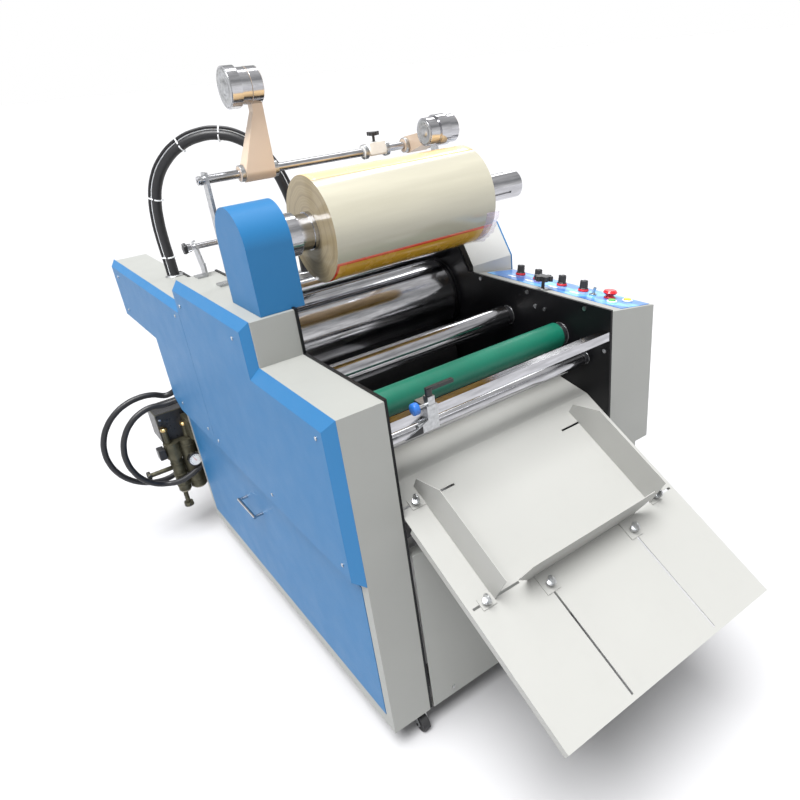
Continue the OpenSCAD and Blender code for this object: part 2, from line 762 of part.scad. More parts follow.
module feed_tray() place() color("#e9e9e6") {
  difference() {
    on_tray() {
      translate([-tray_w / 2, 0, 0]) cube([tray_w, tray_l, tray_t]);
      translate([-tray_w / 2, 0, -18]) cube([tray_t, 560, 18]);
      translate([tray_w / 2 - tray_t, 0, -18]) cube([tray_t, 560, 18]);
      translate([-tray_w / 2 + tray_t, 0, -8]) cube([tray_w - 2 * tray_t, tray_t, 8]);
    }
    on_tray() {
      for (side = [-1, 1]) {
        slot_cut(side * 266, slot_u[0], 132, slot_w);
        slot_cut(side * 257, slot_u[1], 150, slot_w);
        slot_cut(side * slot_x, 156, slot_w, 288);
      }
    }
  }
  on_tray(0, tray_l, tray_t / 2) {
    translate([-tray_w / 2, 0, 0]) rotate([0, 90, 0]) cylinder(h = tray_w, r = tray_t / 2);
    rotate([bend_tilt - tray_tilt, 0, 0])
      translate([-tray_w / 2, 0, -tray_t / 2]) cube([tray_w, bend_run, tray_t]);
  }
  for (side = [-1, 1])
    side_profile(side * 165 - 10, side * 165 + 10, [
      [32, 592.3], [44, 592.3], [44, table_under(44)], [32, table_under(32)]
    ]);
}

guide_h = 92;
guide_u0 = 330;
guide_u1 = 655;

// Bent side guide: an upright fence with two feet, each held by a wing screw in a slot
module side_guide(side, x) {
  on_tray(x, 0, tray_t + 0.4) {
    difference() {
      translate([-1, guide_u0, 0]) cube([2, guide_u1 - guide_u0, guide_h]);
      translate([-2, guide_u1, guide_h * 0.35]) rotate([52, 0, 0]) cube([4, 100, 100]);
    }
    for (u = slot_u)
      difference() {
        translate([side > 0 ? 1 : -39, u - 14, 0]) cube([38, 28, 2]);
        translate([side * 25, u, -1]) cylinder(h = 4, r = 2.6);
      }
  }
  for (u = slot_u)
    on_tray(x + side * 25, u, 0) clamp_screw();
}
module left_side_guide() place() color("#e9e9e6") side_guide(-1, -274);
module right_side_guide() place() color("#e9e9e6") side_guide(1, 246);

stop_u = 326;
// Back stop: an upright plate with cut corners on two feet, which slides along the table
module back_stop() place() color("#e9e9e6") {
  on_tray(0, stop_u, tray_t + 0.4) {
    translate([0, 2, 0]) rotate([90, 0, 0]) linear_extrude(height = 2)
      polygon([[-180, 0], [180, 0], [226, 52], [226, 62], [200, 92], [-200, 92], [-226, 62],
               [-226, 52]]);
    for (x = [-slot_x, slot_x])
      difference() {
        translate([x - 20, -52, 0]) cube([40, 52, 2]);
        translate([x, -32, -1]) cylinder(h = 4, r = 2.6);
      }
  }
  for (x = [-slot_x, slot_x])
    on_tray(x, stop_u - 32, 0) clamp_screw();
}

// ---------------------------------------------------------------- air unit and hoses

unit_y = 1500;

// Manifold with its side plate, filter, lubricator, shut-off valve, drain and lifting lugs
module air_unit() place() color("#54503f") {
  box([-560, unit_y - 60, 405], [-380, unit_y + 60, 525]);
  box([-400, body_d + 0.5, 180], [-380, unit_y + 60, 404.5]);
  box([-470, body_d + 0.5, 420], [-390, unit_y - 60.5, 500]);
  translate([-535, unit_y - 70, 340]) cylinder(h = 64.5, r = 30);
  translate([-478, unit_y - 70, 190]) cylinder(h = 214.5, r = 32);
  translate([-535, unit_y - 70, 190]) cylinder(h = 149.5, r = 24);
  rod(-590, -565.5, unit_y - 70, 372, 20);
  rod(-640, -540, unit_y - 54, 290, 9);
  rod(-652, -640, unit_y - 54, 290, 17);
  translate([-540, unit_y - 70, 128]) cylinder(h = 61.5, r = 9);
  translate([-540, unit_y - 70, 112]) cylinder(h = 16, r = 18);
  for (x = [-545, -470])
    translate([x, unit_y - 70, 404.5]) cylinder(h = 55, r = 11);
}

module pressure_gauge() place() color("#d9d9dc")
  translate([-478, unit_y - 102.5, 330]) rotate([90, 0, 0]) {
    cylinder(h = 14, r = 7);
    translate([0, 0, 14]) cylinder(h = 20, r = 27);
  }

// A round tube swept along a list of points
function dir(p, i) =
  let (a = p[max(i - 1, 0)], b = p[min(i + 1, len(p) - 1)]) (b - a) / norm(b - a);
function across(d, up) = let (c = cross(d, up)) c / norm(c);
function ring(p, i, r, n, up) =
  let (d = dir(p, i), u = across(d, up), v = cross(d, u))
  [for (k = [0 : n - 1]) p[i] + r * (cos(k * 360 / n) * u + sin(k * 360 / n) * v)];
module tube(p, r, n = 10, up = [0.13, 0.21, 1])
  polyhedron(
    points = [for (i = [0 : len(p) - 1]) each ring(p, i, r, n, up)],
    faces = concat(
      [[for (k = [0 : n - 1]) k]],
      [[for (k = [0 : n - 1]) (len(p) - 1) * n + n - 1 - k]],
      [for (i = [0 : len(p) - 2], k = [0 : n - 1])
        [i * n + k, (i + 1) * n + k, (i + 1) * n + (k + 1) % n, i * n + (k + 1) % n]]
    )
  );

// Route of the thick hose that arches over the rear, from the left cabinet to the rear cover
arch_route = [
  [-372, 1310, 1049.4], [-373, 1310, 1110], [-375, 1308, 1170], [-375, 1300, 1235],
  [-368, 1290, 1300], [-350, 1275, 1360], [-318, 1250, 1412], [-272, 1218, 1452],
  [-220, 1182, 1473], [-168, 1148, 1474], [-118, 1116, 1455], [-76, 1090, 1415],
  [-44, 1070, 1360], [-24, 1060, 1300], [-12, 1056, 1235], [-8, 1056, 1165],
  [-8, 1056, 1095], [-8, 1056, 1018.4]
];
// A thinner signal hose runs along its outer side
signal_route = [for (i = [0 : len(arch_route) - 1])
  arch_route[i] + 22 * across(dir(arch_route, i), [0.572, 0.82, 0])];

function loop_point(cx, cz, rx, rz, y, a) = [cx + rx * cos(a), y, cz + rz * sin(a)];
outer_loop = concat(
  [[-398, body_d + 0.6, 610], [-398, 1375, 610], [-408, 1415, 611], [-440, 1445, 604]],
  [for (a = [62 : 16 : 270]) loop_point(-575, 407, 184, 192, 1462 + a * 0.2, a)],
  [[-530, 1520, 222], [-480, 1520, 242], [-435, 1514, 268], [-417, 1512, 276],
   [-401.5, 1512, 277]]
);
inner_loop = concat(
  [[-422, body_d + 0.6, 560], [-422, 1366, 560], [-448, 1392, 573]],
  [for (a = [75 : 18 : 255]) loop_point(-560, 410, 146, 168, 1400 + a * 0.06, a)],
  [[-555, 1392, 250], [-520, 1380, 262], [-440, 1372, 300], [-416, 1369, 309],
   [-401.5, 1369, 310]]
);

module hoses() place() color("#1d1e21") {
  tube(arch_route, 15, 10);
  tube(signal_route, 5, 8);
  tube(outer_loop, 11, 10, [0.05, 1, 0.1]);
  tube(inner_loop, 11, 10, [0.05, 1, 0.1]);
}

// ---------------------------------------------------------------- door, handle, screws

door_y1 = body_d - 28;
module service_door() place() color("#3f7cb4")
  box([-out_x - 1, door_edge + door_gap, body_z + 42.5], [-out_x + 1, door_y1, cover_z - 22]);

handle_y = 745;
handle_z = 425;
module door_handle() place() color("silver") {
  for (y = [-64, 64])
    rod(-out_x - 29, -out_x - 1, handle_y + y, handle_z, 5);
  translate([-out_x - 29, handle_y - 69, handle_z]) rotate([-90, 0, 0]) cylinder(h = 138, r = 5);
}

module side_screw(y, z)
  rod(-out_x - cover_out - 2, -out_x - cover_out, y, z, 5);

module cover_screws() place() color("silver") {
  for (at = [[70, 610], [70, 950], [470, 1070], [890, 610], [890, 1060], [470, 610]])
    side_screw(at[0], at[1]);
  for (at = [[980, 620], [1250, 620], [980, 1010], [1700, 1000], [1700, 870]])
    side_screw(at[0], at[1]);
  for (at = [[532, 1002], [317, 1001], [92, 1000], [18, 898], [283, 966], [245, 965]])
    rod(plate_x - 3, plate_x, at[0], at[1], 6);
  for (x = [-268, 268])
    translate([x, 0, 97]) rotate([90, 0, 0]) cylinder(h = 3, r = 5);
}

// ---------------------------------------------------------------- casters

module caster_fork(side)
  translate([side * caster_x, caster_y, 0]) {
    difference() {
      union() {
        translate([0, 0, body_z - 14]) cylinder(h = 4.7, r = 18);
        for (x = [-16, 13])
          hull() {
            translate([x, -15, body_z - 16]) cube([3, 30, 4]);
            translate([x, -caster_trail, caster_r]) rotate([0, 90, 0]) cylinder(h = 3, r = 9);
          }
        translate([-16, -15, body_z - 14]) cube([32, 30, 4]);
      }
      translate([-20, -caster_trail, caster_r]) rotate([0, 90, 0]) cylinder(h = 40, r = 4 + fit);
    }
  }
module left_caster_fork() place() color("silver") caster_fork(-1);
module right_caster_fork() place() color("silver") caster_fork(1);

module caster_wheel(x, y) {
  rod(x - 11, x + 11, y, caster_r, caster_r);
  rod(x - 18, x + 18, y, caster_r, 4);
}
module left_caster_wheel() place() color("#1b1b1d")
  caster_wheel(-caster_x, caster_y - caster_trail);
module right_caster_wheel() place() color("#1b1b1d")
  caster_wheel(caster_x, caster_y - caster_trail);
module rear_caster_wheels() place() color("#1b1b1d")
  for (side = [-1, 1])
    difference() {
      rod(side * caster_x - 11, side * caster_x + 11, rear_caster_y, caster_r, caster_r);
      rod(side * caster_x - 12, side * caster_x + 12, rear_caster_y, caster_r, 4 + fit);
    }

base_frame();
left_side_plate();
right_side_plate();
left_cabinet();
right_cabinet();
left_upper_cover();
left_rear_cover();
right_rear_cover();
right_side_panels();
front_panel();
rear_cover();
control_panel();
lay_bar();
feed_tray();
roller_bearings();
film_shaft_cap();
rear_bars();
rear_brackets();
pressure_cylinders();
drive_motor();
hoses();
air_unit();
pressure_gauge();
cover_screws();
service_door();
door_handle();
film_shaft();
film_roll();
heated_roller();
pressure_roller();
pressure_blocks();
guide_roller();
feed_roller();
front_roller();
left_arm();
left_press_wheel();
right_arm();
right_press_wheel();
slitter_holder();
slitter_knob();
lay_gauge();
lay_gauge_lever();
left_side_guide();
right_side_guide();
back_stop();
speed_knob();
pressure_knob();
heat_knob();
tension_knob();
handwheel();
toggle_switch();
stop_button();
start_button();
jog_button();
left_caster_fork();
right_caster_fork();
left_caster_wheel();
right_caster_wheel();
rear_caster_wheels();
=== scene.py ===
"""Looks of the roll laminator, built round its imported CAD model."""
import json
import math

import bpy
import bmesh
from mathutils import Euler, Matrix, Vector


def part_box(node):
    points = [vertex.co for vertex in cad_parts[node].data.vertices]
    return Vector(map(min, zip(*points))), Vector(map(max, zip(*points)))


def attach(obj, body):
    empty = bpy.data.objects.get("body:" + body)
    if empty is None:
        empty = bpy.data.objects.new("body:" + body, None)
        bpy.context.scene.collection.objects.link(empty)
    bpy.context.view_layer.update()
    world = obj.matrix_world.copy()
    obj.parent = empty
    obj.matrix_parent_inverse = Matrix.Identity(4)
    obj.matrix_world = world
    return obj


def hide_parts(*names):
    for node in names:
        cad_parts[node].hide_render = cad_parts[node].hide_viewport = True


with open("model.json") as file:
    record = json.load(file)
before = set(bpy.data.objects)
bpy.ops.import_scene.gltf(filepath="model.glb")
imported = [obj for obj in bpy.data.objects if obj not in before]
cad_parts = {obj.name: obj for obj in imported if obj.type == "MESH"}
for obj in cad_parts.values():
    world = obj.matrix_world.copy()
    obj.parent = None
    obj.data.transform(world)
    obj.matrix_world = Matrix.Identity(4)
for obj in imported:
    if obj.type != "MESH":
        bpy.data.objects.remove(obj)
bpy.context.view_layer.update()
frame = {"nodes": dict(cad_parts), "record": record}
BODY = "machine_body"


def middle(node):
    low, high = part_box(node)
    return (Vector(low) + Vector(high)) / 2


# ------------------------------------------------------------------ camera, floor and lights

CAMERA_AT = (-0.821, -1.756, 1.625)
CAMERA_TURN = (61.66, 5.05, -37.05)
LENS_MM = 30.53
SHIFT_X = -0.0640
SHIFT_Y = 0.0275


def camera():
    data = bpy.data.cameras.new("photo_camera")
    data.lens = LENS_MM
    data.sensor_width = 36
    data.shift_x = SHIFT_X
    data.shift_y = SHIFT_Y
    obj = bpy.data.objects.new("photo_camera", data)
    obj.location = CAMERA_AT
    obj.rotation_euler = Euler([math.radians(a) for a in CAMERA_TURN])
    bpy.context.collection.objects.link(obj)
    bpy.context.scene.camera = obj


def area_light(name, place, target, size, power, colour=(1, 1, 1)):
    data = bpy.data.lights.new(name, "AREA")
    data.shape = "RECTANGLE"
    data.size, data.size_y = size
    data.energy = power
    data.color = colour
    obj = bpy.data.objects.new(name, data)
    obj.location = place
    obj.rotation_euler = (Vector(target) - Vector(place)).to_track_quat("-Z", "Y").to_euler()
    bpy.context.collection.objects.link(obj)


def studio():
    bpy.ops.mesh.primitive_plane_add(size=600, location=(0, 0, 0))
    floor = bpy.context.object
    floor.name = "floor"
    floor.data.materials.append(new_material("studio_floor", (0.45, 0.45, 0.46), 0.75)[0])
    world = bpy.data.worlds.new("studio")
    world.use_nodes = True
    tree = world.node_tree
    split = node(tree, "ShaderNodeSeparateXYZ")
    tree.links.new(node(tree, "ShaderNodeTexCoord").outputs["Generated"], split.inputs[0])
    sky = ramp(tree, split.outputs[2], [(0.0, (1, 1, 1)), (0.15, (1, 1, 1)),
                                        (0.5, (0.36, 0.365, 0.37)), (0.8, (0.7, 0.7, 0.7))])
    tree.links.new(sky, tree.nodes["Background"].inputs["Color"])
    bpy.context.scene.world = world
    bpy.context.scene.view_settings.view_transform = "Standard"
    sun = bpy.data.lights.new("overhead", "SUN")
    sun.energy = 6.0
    sun.angle = math.radians(40)
    lamp = bpy.data.objects.new("overhead", sun)
    lamp.rotation_euler = (math.radians(8), math.radians(-16), 0)
    bpy.context.collection.objects.link(lamp)
    area_light("key", (-2.8, -2.0, 2.6), (0, 0, 0.8), (1.6, 2.4), 7)
    area_light("strip", (1.6, 1.0, 3.4), (0, 0, 0.9), (0.5, 3.0), 24)


# ------------------------------------------------------------------ material tools

def new_material(name, colour, roughness, metallic=0.0, coat=0.0, coat_roughness=0.1):
    mat = bpy.data.materials.new(name)
    mat.use_nodes = True
    shader = mat.node_tree.nodes["Principled BSDF"]
    shader.inputs["Base Color"].default_value = (*colour, 1)
    shader.inputs["Roughness"].default_value = roughness
    shader.inputs["Metallic"].default_value = metallic
    shader.inputs["Coat Weight"].default_value = coat
    shader.inputs["Coat Roughness"].default_value = coat_roughness
    return mat, mat.node_tree, shader


def node(tree, kind, **values):
    made = tree.nodes.new(kind)
    for key, value in values.items():
        setattr(made, key, value)
    return made


def place(tree, stretch=(1, 1, 1)):
    """Object coordinates, in metres, stretched along each axis."""
    coords = node(tree, "ShaderNodeTexCoord")
    mapping = node(tree, "ShaderNodeMapping")
    mapping.inputs["Scale"].default_value = stretch
    tree.links.new(coords.outputs["Object"], mapping.inputs["Vector"])
    return mapping.outputs["Vector"]


def noise(tree, scale, detail=3.0, stretch=(1, 1, 1)):
    made = node(tree, "ShaderNodeTexNoise")
    made.inputs["Scale"].default_value = scale
    made.inputs["Detail"].default_value = detail
    tree.links.new(place(tree, stretch), made.inputs["Vector"])
    return made.outputs["Fac"]


def ramp(tree, value, stops, constant=False):
    made = node(tree, "ShaderNodeValToRGB")
    if constant:
        made.color_ramp.interpolation = "CONSTANT"
    elements = made.color_ramp.elements
    while len(elements) < len(stops):
        elements.new(0.5)
    for element, (where, colour) in zip(elements, stops):
        element.position = where
        element.color = (*colour, 1)
    tree.links.new(value, made.inputs["Fac"])
    return made.outputs["Color"]


def spread(tree, value, low, high, start=0.3, end=0.7):
    made = node(tree, "ShaderNodeMapRange")
    tree.links.new(value, made.inputs["Value"])
    made.inputs["From Min"].default_value = start
    made.inputs["From Max"].default_value = end
    made.inputs["To Min"].default_value = low
    made.inputs["To Max"].default_value = high
    return made.outputs["Result"]


def blend_colour(tree, value, low, high):
    made = node(tree, "ShaderNodeMix", data_type="RGBA")
    for socket, given in ((made.inputs[0], value), (made.inputs[6], low), (made.inputs[7], high)):
        if isinstance(given, tuple):
            socket.default_value = (*given, 1)
        else:
            tree.links.new(given, socket)
    return made.outputs[2]


def math_node(tree, operation, first, second=None):
    made = node(tree, "ShaderNodeMath", operation=operation)
    for socket, given in zip(made.inputs, (first, second)):
        if given is None:
            continue
        if isinstance(given, (int, float)):
            socket.default_value = given
        else:
            tree.links.new(given, socket)
    return made.outputs[0]


def bump(tree, shader, height, distance, strength=0.6):
    made = node(tree, "ShaderNodeBump")
    made.inputs["Strength"].default_value = strength
    made.inputs["Distance"].default_value = distance
    tree.links.new(height, made.inputs["Height"])
    tree.links.new(made.outputs["Normal"], shader.inputs["Normal"])


def shade(colour, factor):
    return tuple(min(1.0, c * factor) for c in colour)


# ------------------------------------------------------------------ materials

def powder_coat(name, colour, roughness=0.42, grain=0.00022, coat=0.12, gloss=0.5):
    """Textured enamel on sheet metal: fine orange peel, faint clouding and smudges."""
    mat, tree, shader = new_material(name, colour, roughness, coat=coat, coat_roughness=0.25)
    shader.inputs["Specular IOR Level"].default_value = gloss
    clouds = spread(tree, noise(tree, 3.2, 4), 0, 1)
    tint = blend_colour(tree, clouds, shade(colour, 0.985), shade(colour, 1.015))
    smudges = spread(tree, noise(tree, 26, 5), 0, 0.12, 0.55, 0.8)
    tree.links.new(blend_colour(tree, smudges, tint, shade(colour, 0.86)),
                   shader.inputs["Base Color"])
    tree.links.new(spread(tree, noise(tree, 14, 4), roughness - 0.02, roughness + 0.04),
                   shader.inputs["Roughness"])
    bump(tree, shader, noise(tree, 620, 2), grain)
    return mat


def chrome(name, colour=(0.54, 0.54, 0.56), roughness=0.08, stretch=(1, 1, 1), scale=60):
    """Plated or ground steel: machining lines, wipe marks and painted reflection streaks."""
    mat, tree, shader = new_material(name, colour, roughness, metallic=1.0)
    streaks = noise(tree, scale, 5, stretch)
    wipes = noise(tree, 7, 4)
    tree.links.new(spread(tree, wipes, roughness, roughness + 0.12), shader.inputs["Roughness"])
    # Painted reflection: the colour streaks stand partly for reflected bands, partly for wipe
    # marks.
    tint = blend_colour(tree, spread(tree, streaks, 0, 1), shade(colour, 0.72),
                        shade(colour, 1.10))
    tree.links.new(tint, shader.inputs["Base Color"])
    bump(tree, shader, streaks, 0.00003, 0.25)
    return mat


def rubber(name, colour, roughness=0.55, scale=160):
    mat, tree, shader = new_material(name, colour, roughness)
    fine = noise(tree, scale, 4)
    tree.links.new(blend_colour(tree, spread(tree, noise(tree, 9, 4), 0, 1), shade(colour, 0.88),
                                shade(colour, 1.12)), shader.inputs["Base Color"])
    tree.links.new(spread(tree, fine, roughness - 0.08, roughness + 0.12),
                   shader.inputs["Roughness"])
    bump(tree, shader, fine, 0.00012, 0.5)
    return mat


def plastic(name, colour, roughness=0.3, coat=0.0):
    mat, tree, shader = new_material(name, colour, roughness, coat=coat)
    tree.links.new(blend_colour(tree, spread(tree, noise(tree, 40, 3), 0, 1), shade(colour, 0.92),
                                shade(colour, 1.06)), shader.inputs["Base Color"])
    tree.links.new(spread(tree, noise(tree, 90, 3), roughness - 0.05, roughness + 0.1),
                   shader.inputs["Roughness"])
    bump(tree, shader, noise(tree, 900, 2), 0.00005, 0.4)
    return mat


def cast_metal(name, colour, roughness=0.5):
    mat, tree, shader = new_material(name, colour, roughness, metallic=0.75)
    pits = noise(tree, 240, 6)
    tree.links.new(blend_colour(tree, spread(tree, noise(tree, 30, 6), 0, 1), shade(colour, 0.65),
                                shade(colour, 1.25)), shader.inputs["Base Color"])
    tree.links.new(spread(tree, pits, roughness - 0.12, roughness + 0.15),
                   shader.inputs["Roughness"])
    bump(tree, shader, pits, 0.0004, 0.6)
    return mat


def film_winding(name):
    """Wound film: glossy cream outside, and fine beige rings on the cut ends."""
    cream = (0.42, 0.40, 0.32)
    mat, tree, shader = new_material(name, cream, 0.22, coat=0.55, coat_roughness=0.06)
    low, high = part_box("film_roll")
    centre = (Vector(low) + Vector(high)) / 2
    coords = node(tree, "ShaderNodeTexCoord")
    offset = node(tree, "ShaderNodeVectorMath", operation="SUBTRACT")
    offset.inputs[1].default_value = centre
    tree.links.new(coords.outputs["Object"], offset.inputs[0])
    flat = node(tree, "ShaderNodeVectorMath", operation="MULTIPLY")
    flat.inputs[1].default_value = (0, 1, 1)
    tree.links.new(offset.outputs[0], flat.inputs[0])
    radius = node(tree, "ShaderNodeVectorMath", operation="LENGTH")
    tree.links.new(flat.outputs[0], radius.inputs[0])
    waver = math_node(tree, "MULTIPLY", noise(tree, 11, 3), 0.03)
    wavy = math_node(tree, "ADD", radius.outputs["Value"], waver)
    rings = math_node(tree, "SINE", math_node(tree, "MULTIPLY", wavy, 900))
    broad = math_node(tree, "SINE", math_node(tree, "MULTIPLY", wavy, 210))
    beige = blend_colour(tree, spread(tree, rings, 0, 1, -1, 1), (0.30, 0.24, 0.135),
                         (0.34, 0.27, 0.16))
    beige = blend_colour(tree, spread(tree, broad, 0, 0.5, 0.55, 1), beige, (0.21, 0.16, 0.09))
    inner = spread(tree, radius.outputs["Value"], 1, 0, 0.046, 0.0465)
    beige = blend_colour(tree, inner, beige, (0.30, 0.23, 0.15))
    geometry = node(tree, "ShaderNodeNewGeometry")
    split = node(tree, "ShaderNodeSeparateXYZ")
    tree.links.new(geometry.outputs["True Normal"], split.inputs[0])
    end = math_node(tree, "GREATER_THAN", math_node(tree, "ABSOLUTE", split.outputs[0]), 0.7)
    streaks = noise(tree, 3.5, 4, (0.6, 6, 6))
    side = blend_colour(tree, spread(tree, streaks, 0, 1), shade(cream, 0.90), shade(cream, 1.06))
    tree.links.new(blend_colour(tree, end, side, beige), shader.inputs["Base Color"])
    tree.links.new(spread(tree, end, 0.2, 0.6, 0, 1), shader.inputs["Roughness"])
    bump(tree, shader, noise(tree, 22, 3, (0.3, 1, 1)), 0.0009, 0.35)
    return mat


def wrapper_print(name):
    """Plain amber band on the roll's wrapper, with a red line at its start and at its left end."""
    red = (0.55, 0.05, 0.02)
    amber_until = 0.3
    mat, tree, shader = new_material(name, (0.8, 0.5, 0.12), 0.2, coat=0.6, coat_roughness=0.05)
    uv = node(tree, "ShaderNodeUVMap")
    split = node(tree, "ShaderNodeSeparateXYZ")
    tree.links.new(uv.outputs[0], split.inputs[0])
    bands = ramp(tree, split.outputs[1], [
        (0.0, red), (0.013, (0.55, 0.30, 0.025)), (amber_until, (0.76, 0.52, 0.26))],
        constant=True)
    edge = math_node(tree, "LESS_THAN", split.outputs[0], 0.016)
    low_part = math_node(tree, "LESS_THAN", split.outputs[1], amber_until)
    bands = blend_colour(tree, math_node(tree, "MULTIPLY", edge, low_part), bands, red)
    cloud = spread(tree, noise(tree, 9, 4, (0.6, 1, 1)), 0, 0.25, 0.45, 0.8)
    tree.links.new(blend_colour(tree, cloud, bands, (0.80, 0.60, 0.36)),
                   shader.inputs["Base Color"])
    tree.links.new(spread(tree, noise(tree, 20, 3), 0.14, 0.34), shader.inputs["Roughness"])
    bump(tree, shader, noise(tree, 30, 3, (0.3, 1, 1)), 0.0007, 0.35)
    return mat


def clear_wrap(name):
    mat, tree, shader = new_material(name, (0.78, 0.66, 0.80), 0.1, coat=0.8, coat_roughness=0.04)
    shader.inputs["Alpha"].default_value = 0.26
    bump(tree, shader, noise(tree, 45, 5), 0.003, 0.8)
    return mat


def panel_print(name):
    """Control panel membrane: deep blue with a lighter, softly waving field."""
    mat, tree, shader = new_material(name, (0.05, 0.23, 0.58), 0.28, coat=0.4)
    waves = spread(tree, noise(tree, 17, 2, (1, 0.5, 1)), 0, 1, 0.46, 0.56)
    tree.links.new(blend_colour(tree, waves, (0.035, 0.17, 0.50), (0.13, 0.42, 0.80)),
                   shader.inputs["Base Color"])
    bump(tree, shader, noise(tree, 700, 2), 0.00004, 0.4)
    return mat


BLUE = (0.016, 0.135, 0.315)
LIGHT = (0.50, 0.50, 0.485)
FINISHES = {
    "frame_steel": lambda n: powder_coat(n, (0.10, 0.10, 0.105), 0.55),
    "black_plate": lambda n: powder_coat(n, (0.004, 0.004, 0.005), 0.36, coat=0.0, gloss=0.22),
    "grey_casing": lambda n: powder_coat(n, (0.30, 0.305, 0.29), 0.5, gloss=0.35),
    "light_casing": lambda n: powder_coat(n, LIGHT, 0.42),
    "blue_casing": lambda n: powder_coat(n, BLUE, 0.44, coat=0.02, gloss=0.3),
    "panel_film": panel_print,
    "table_paint": lambda n: powder_coat(n, (0.345, 0.345, 0.33), 0.4, 0.0001, 0.05, 0.35),
    "chrome": lambda n: chrome(n, stretch=(0.25, 2.0, 2.0)),
    "zinc": lambda n: chrome(n, (0.52, 0.53, 0.54), 0.24, (1, 1, 1), 120),
    "black_steel": lambda n: chrome(n, (0.07, 0.07, 0.075), 0.35),
    "black_rubber": lambda n: rubber(n, (0.018, 0.018, 0.02)),
    "green_rubber": lambda n: rubber(n, (0.001, 0.105, 0.064), 0.42),
    "arm_paint": lambda n: powder_coat(n, (0.62, 0.49, 0.38), 0.38, 0.00012, 0.1),
    "white_plastic": lambda n: plastic(n, (0.84, 0.84, 0.82), 0.35),
    "black_plastic": lambda n: plastic(n, (0.014, 0.014, 0.016), 0.3),
    "red_plastic": lambda n: plastic(n, (0.60, 0.012, 0.02), 0.22, 0.4),
    "green_plastic": lambda n: plastic(n, (0.12, 0.52, 0.14), 0.25, 0.3),
    "yellow_plastic": lambda n: plastic(n, (0.86, 0.60, 0.03), 0.25, 0.3),
    "film": film_winding,
    "hose_rubber": lambda n: rubber(n, (0.010, 0.010, 0.012), 0.42, 300),
    "air_casting": lambda n: cast_metal(n, (0.105, 0.098, 0.066)),
    "gauge_case": lambda n: chrome(n, (0.72, 0.72, 0.74), 0.16),
    "motor_paint": lambda n: powder_coat(n, (0.05, 0.09, 0.15), 0.45),
    "wheel_rubber": lambda n: rubber(n, (0.014, 0.014, 0.015), 0.6),
}
MATERIALS = {slot: make(slot + "_look") for slot, make in FINISHES.items()}
MATERIALS["wrapper"] = wrapper_print("wrapper_print")
MATERIALS["clear_wrap"] = clear_wrap("clear_wrap")
MATERIALS["brass"] = chrome("brass_look", (0.72, 0.52, 0.24), 0.22)
MATERIALS["blue_knob"] = plastic("blue_knob_look", (0.02, 0.12, 0.42), 0.3)
MATERIALS["white_print"] = plastic("white_print_look", (0.84, 0.86, 0.88), 0.4)
MATERIALS["red_print"] = plastic("red_print_look", (0.62, 0.02, 0.03), 0.35)
# Black print for the gauge's ticks and pointer, and painted shade in the vents' slots.
MATERIALS["black_print_and_shade"] = plastic("black_print_look", (0.01, 0.01, 0.012), 0.4)
MATERIALS["clear_bowl"] = plastic("clear_bowl_look", (0.28, 0.25, 0.18), 0.12, 0.6)

BEVELS = {"grey_casing": 2.2, "light_casing": 2.2, "blue_casing": 2.0, "table_paint": 0.6,
          "black_plate": 0.8, "zinc": 0.7, "black_steel": 0.8, "air_casting": 3.0,
          "arm_paint": 1.2, "black_plastic": 0.9, "white_plastic": 1.2, "motor_paint": 2.5,
          "frame_steel": 1.5, "chrome": 0.5, "red_plastic": 1.0, "green_plastic": 0.8,
          "yellow_plastic": 0.8, "wheel_rubber": 1.5, "gauge_case": 0.8}


def soften(obj, width_mm, segments=2):
    """Round an object's sharp edges with a bevel modifier."""
    made = obj.modifiers.new("edge", "BEVEL")
    made.width = width_mm / 1000
    made.segments = segments
    made.limit_method = "ANGLE"
    made.angle_limit = math.radians(40)
    made.harden_normals = True


def dress_frame():
    """Give each CAD node its slot's material and rounded edges."""
    slots = {part["node"]: part["material_slot"] for part in frame["record"]["subparts"]}
    for name, obj in frame["nodes"].items():
        slot = slots[name]
        obj.data.materials.clear()
        obj.data.materials.append(MATERIALS[slot])
        if slot in BEVELS:
            soften(obj, BEVELS[slot])


# ------------------------------------------------------------------ making pieces

def piece(name, mesh, material, body, bevel=0.0, smooth=True):
    obj = bpy.data.objects.new(name, mesh)
    bpy.context.collection.objects.link(obj)
    mesh.materials.append(MATERIALS[material])
    if smooth:
        mesh.shade_smooth()
    if bevel:
        soften(obj, bevel)
    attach(obj, body)
    return obj


def lathe(outline, steps=48, ripple=None):
    """A closed mesh turned round +Z from (radius, height) points in millimetres."""
    mesh = bpy.data.meshes.new("lathe")
    build = bmesh.new()
    rings = []
    for radius, height in outline:
        circle = []
        for i in range(steps):
            angle = 2 * math.pi * i / steps
            out = radius * (1 + (ripple(angle) if ripple else 0)) / 1000
            circle.append(build.verts.new((out * math.cos(angle), out * math.sin(angle),
                                           height / 1000)))
        rings.append(circle)
    for low, high in zip(rings, rings[1:]):
        for i in range(steps):
            j = (i + 1) % steps
            build.faces.new((low[i], low[j], high[j], high[i]))
    build.faces.new(list(reversed(rings[0])))
    build.faces.new(rings[-1])
    build.normal_update()
    build.to_mesh(mesh)
    build.free()
    return mesh


def plate(outline, thick):
    """A flat plate in XY from (x, y) points, thick along Z, all in metres."""
    mesh = bpy.data.meshes.new("plate")
    build = bmesh.new()
    low = [build.verts.new((x, y, 0)) for x, y in outline]
    high = [build.verts.new((x, y, thick)) for x, y in outline]
    count = len(outline)
    build.faces.new(list(reversed(low)))
    build.faces.new(high)
    for i in range(count):
        j = (i + 1) % count
        build.faces.new((low[i], low[j], high[j], high[i]))
    build.normal_update()
    build.to_mesh(mesh)
    build.free()
    return mesh


def rectangle(x0, y0, x1, y1):
    return [(x0, y0), (x1, y0), (x1, y1), (x0, y1)]


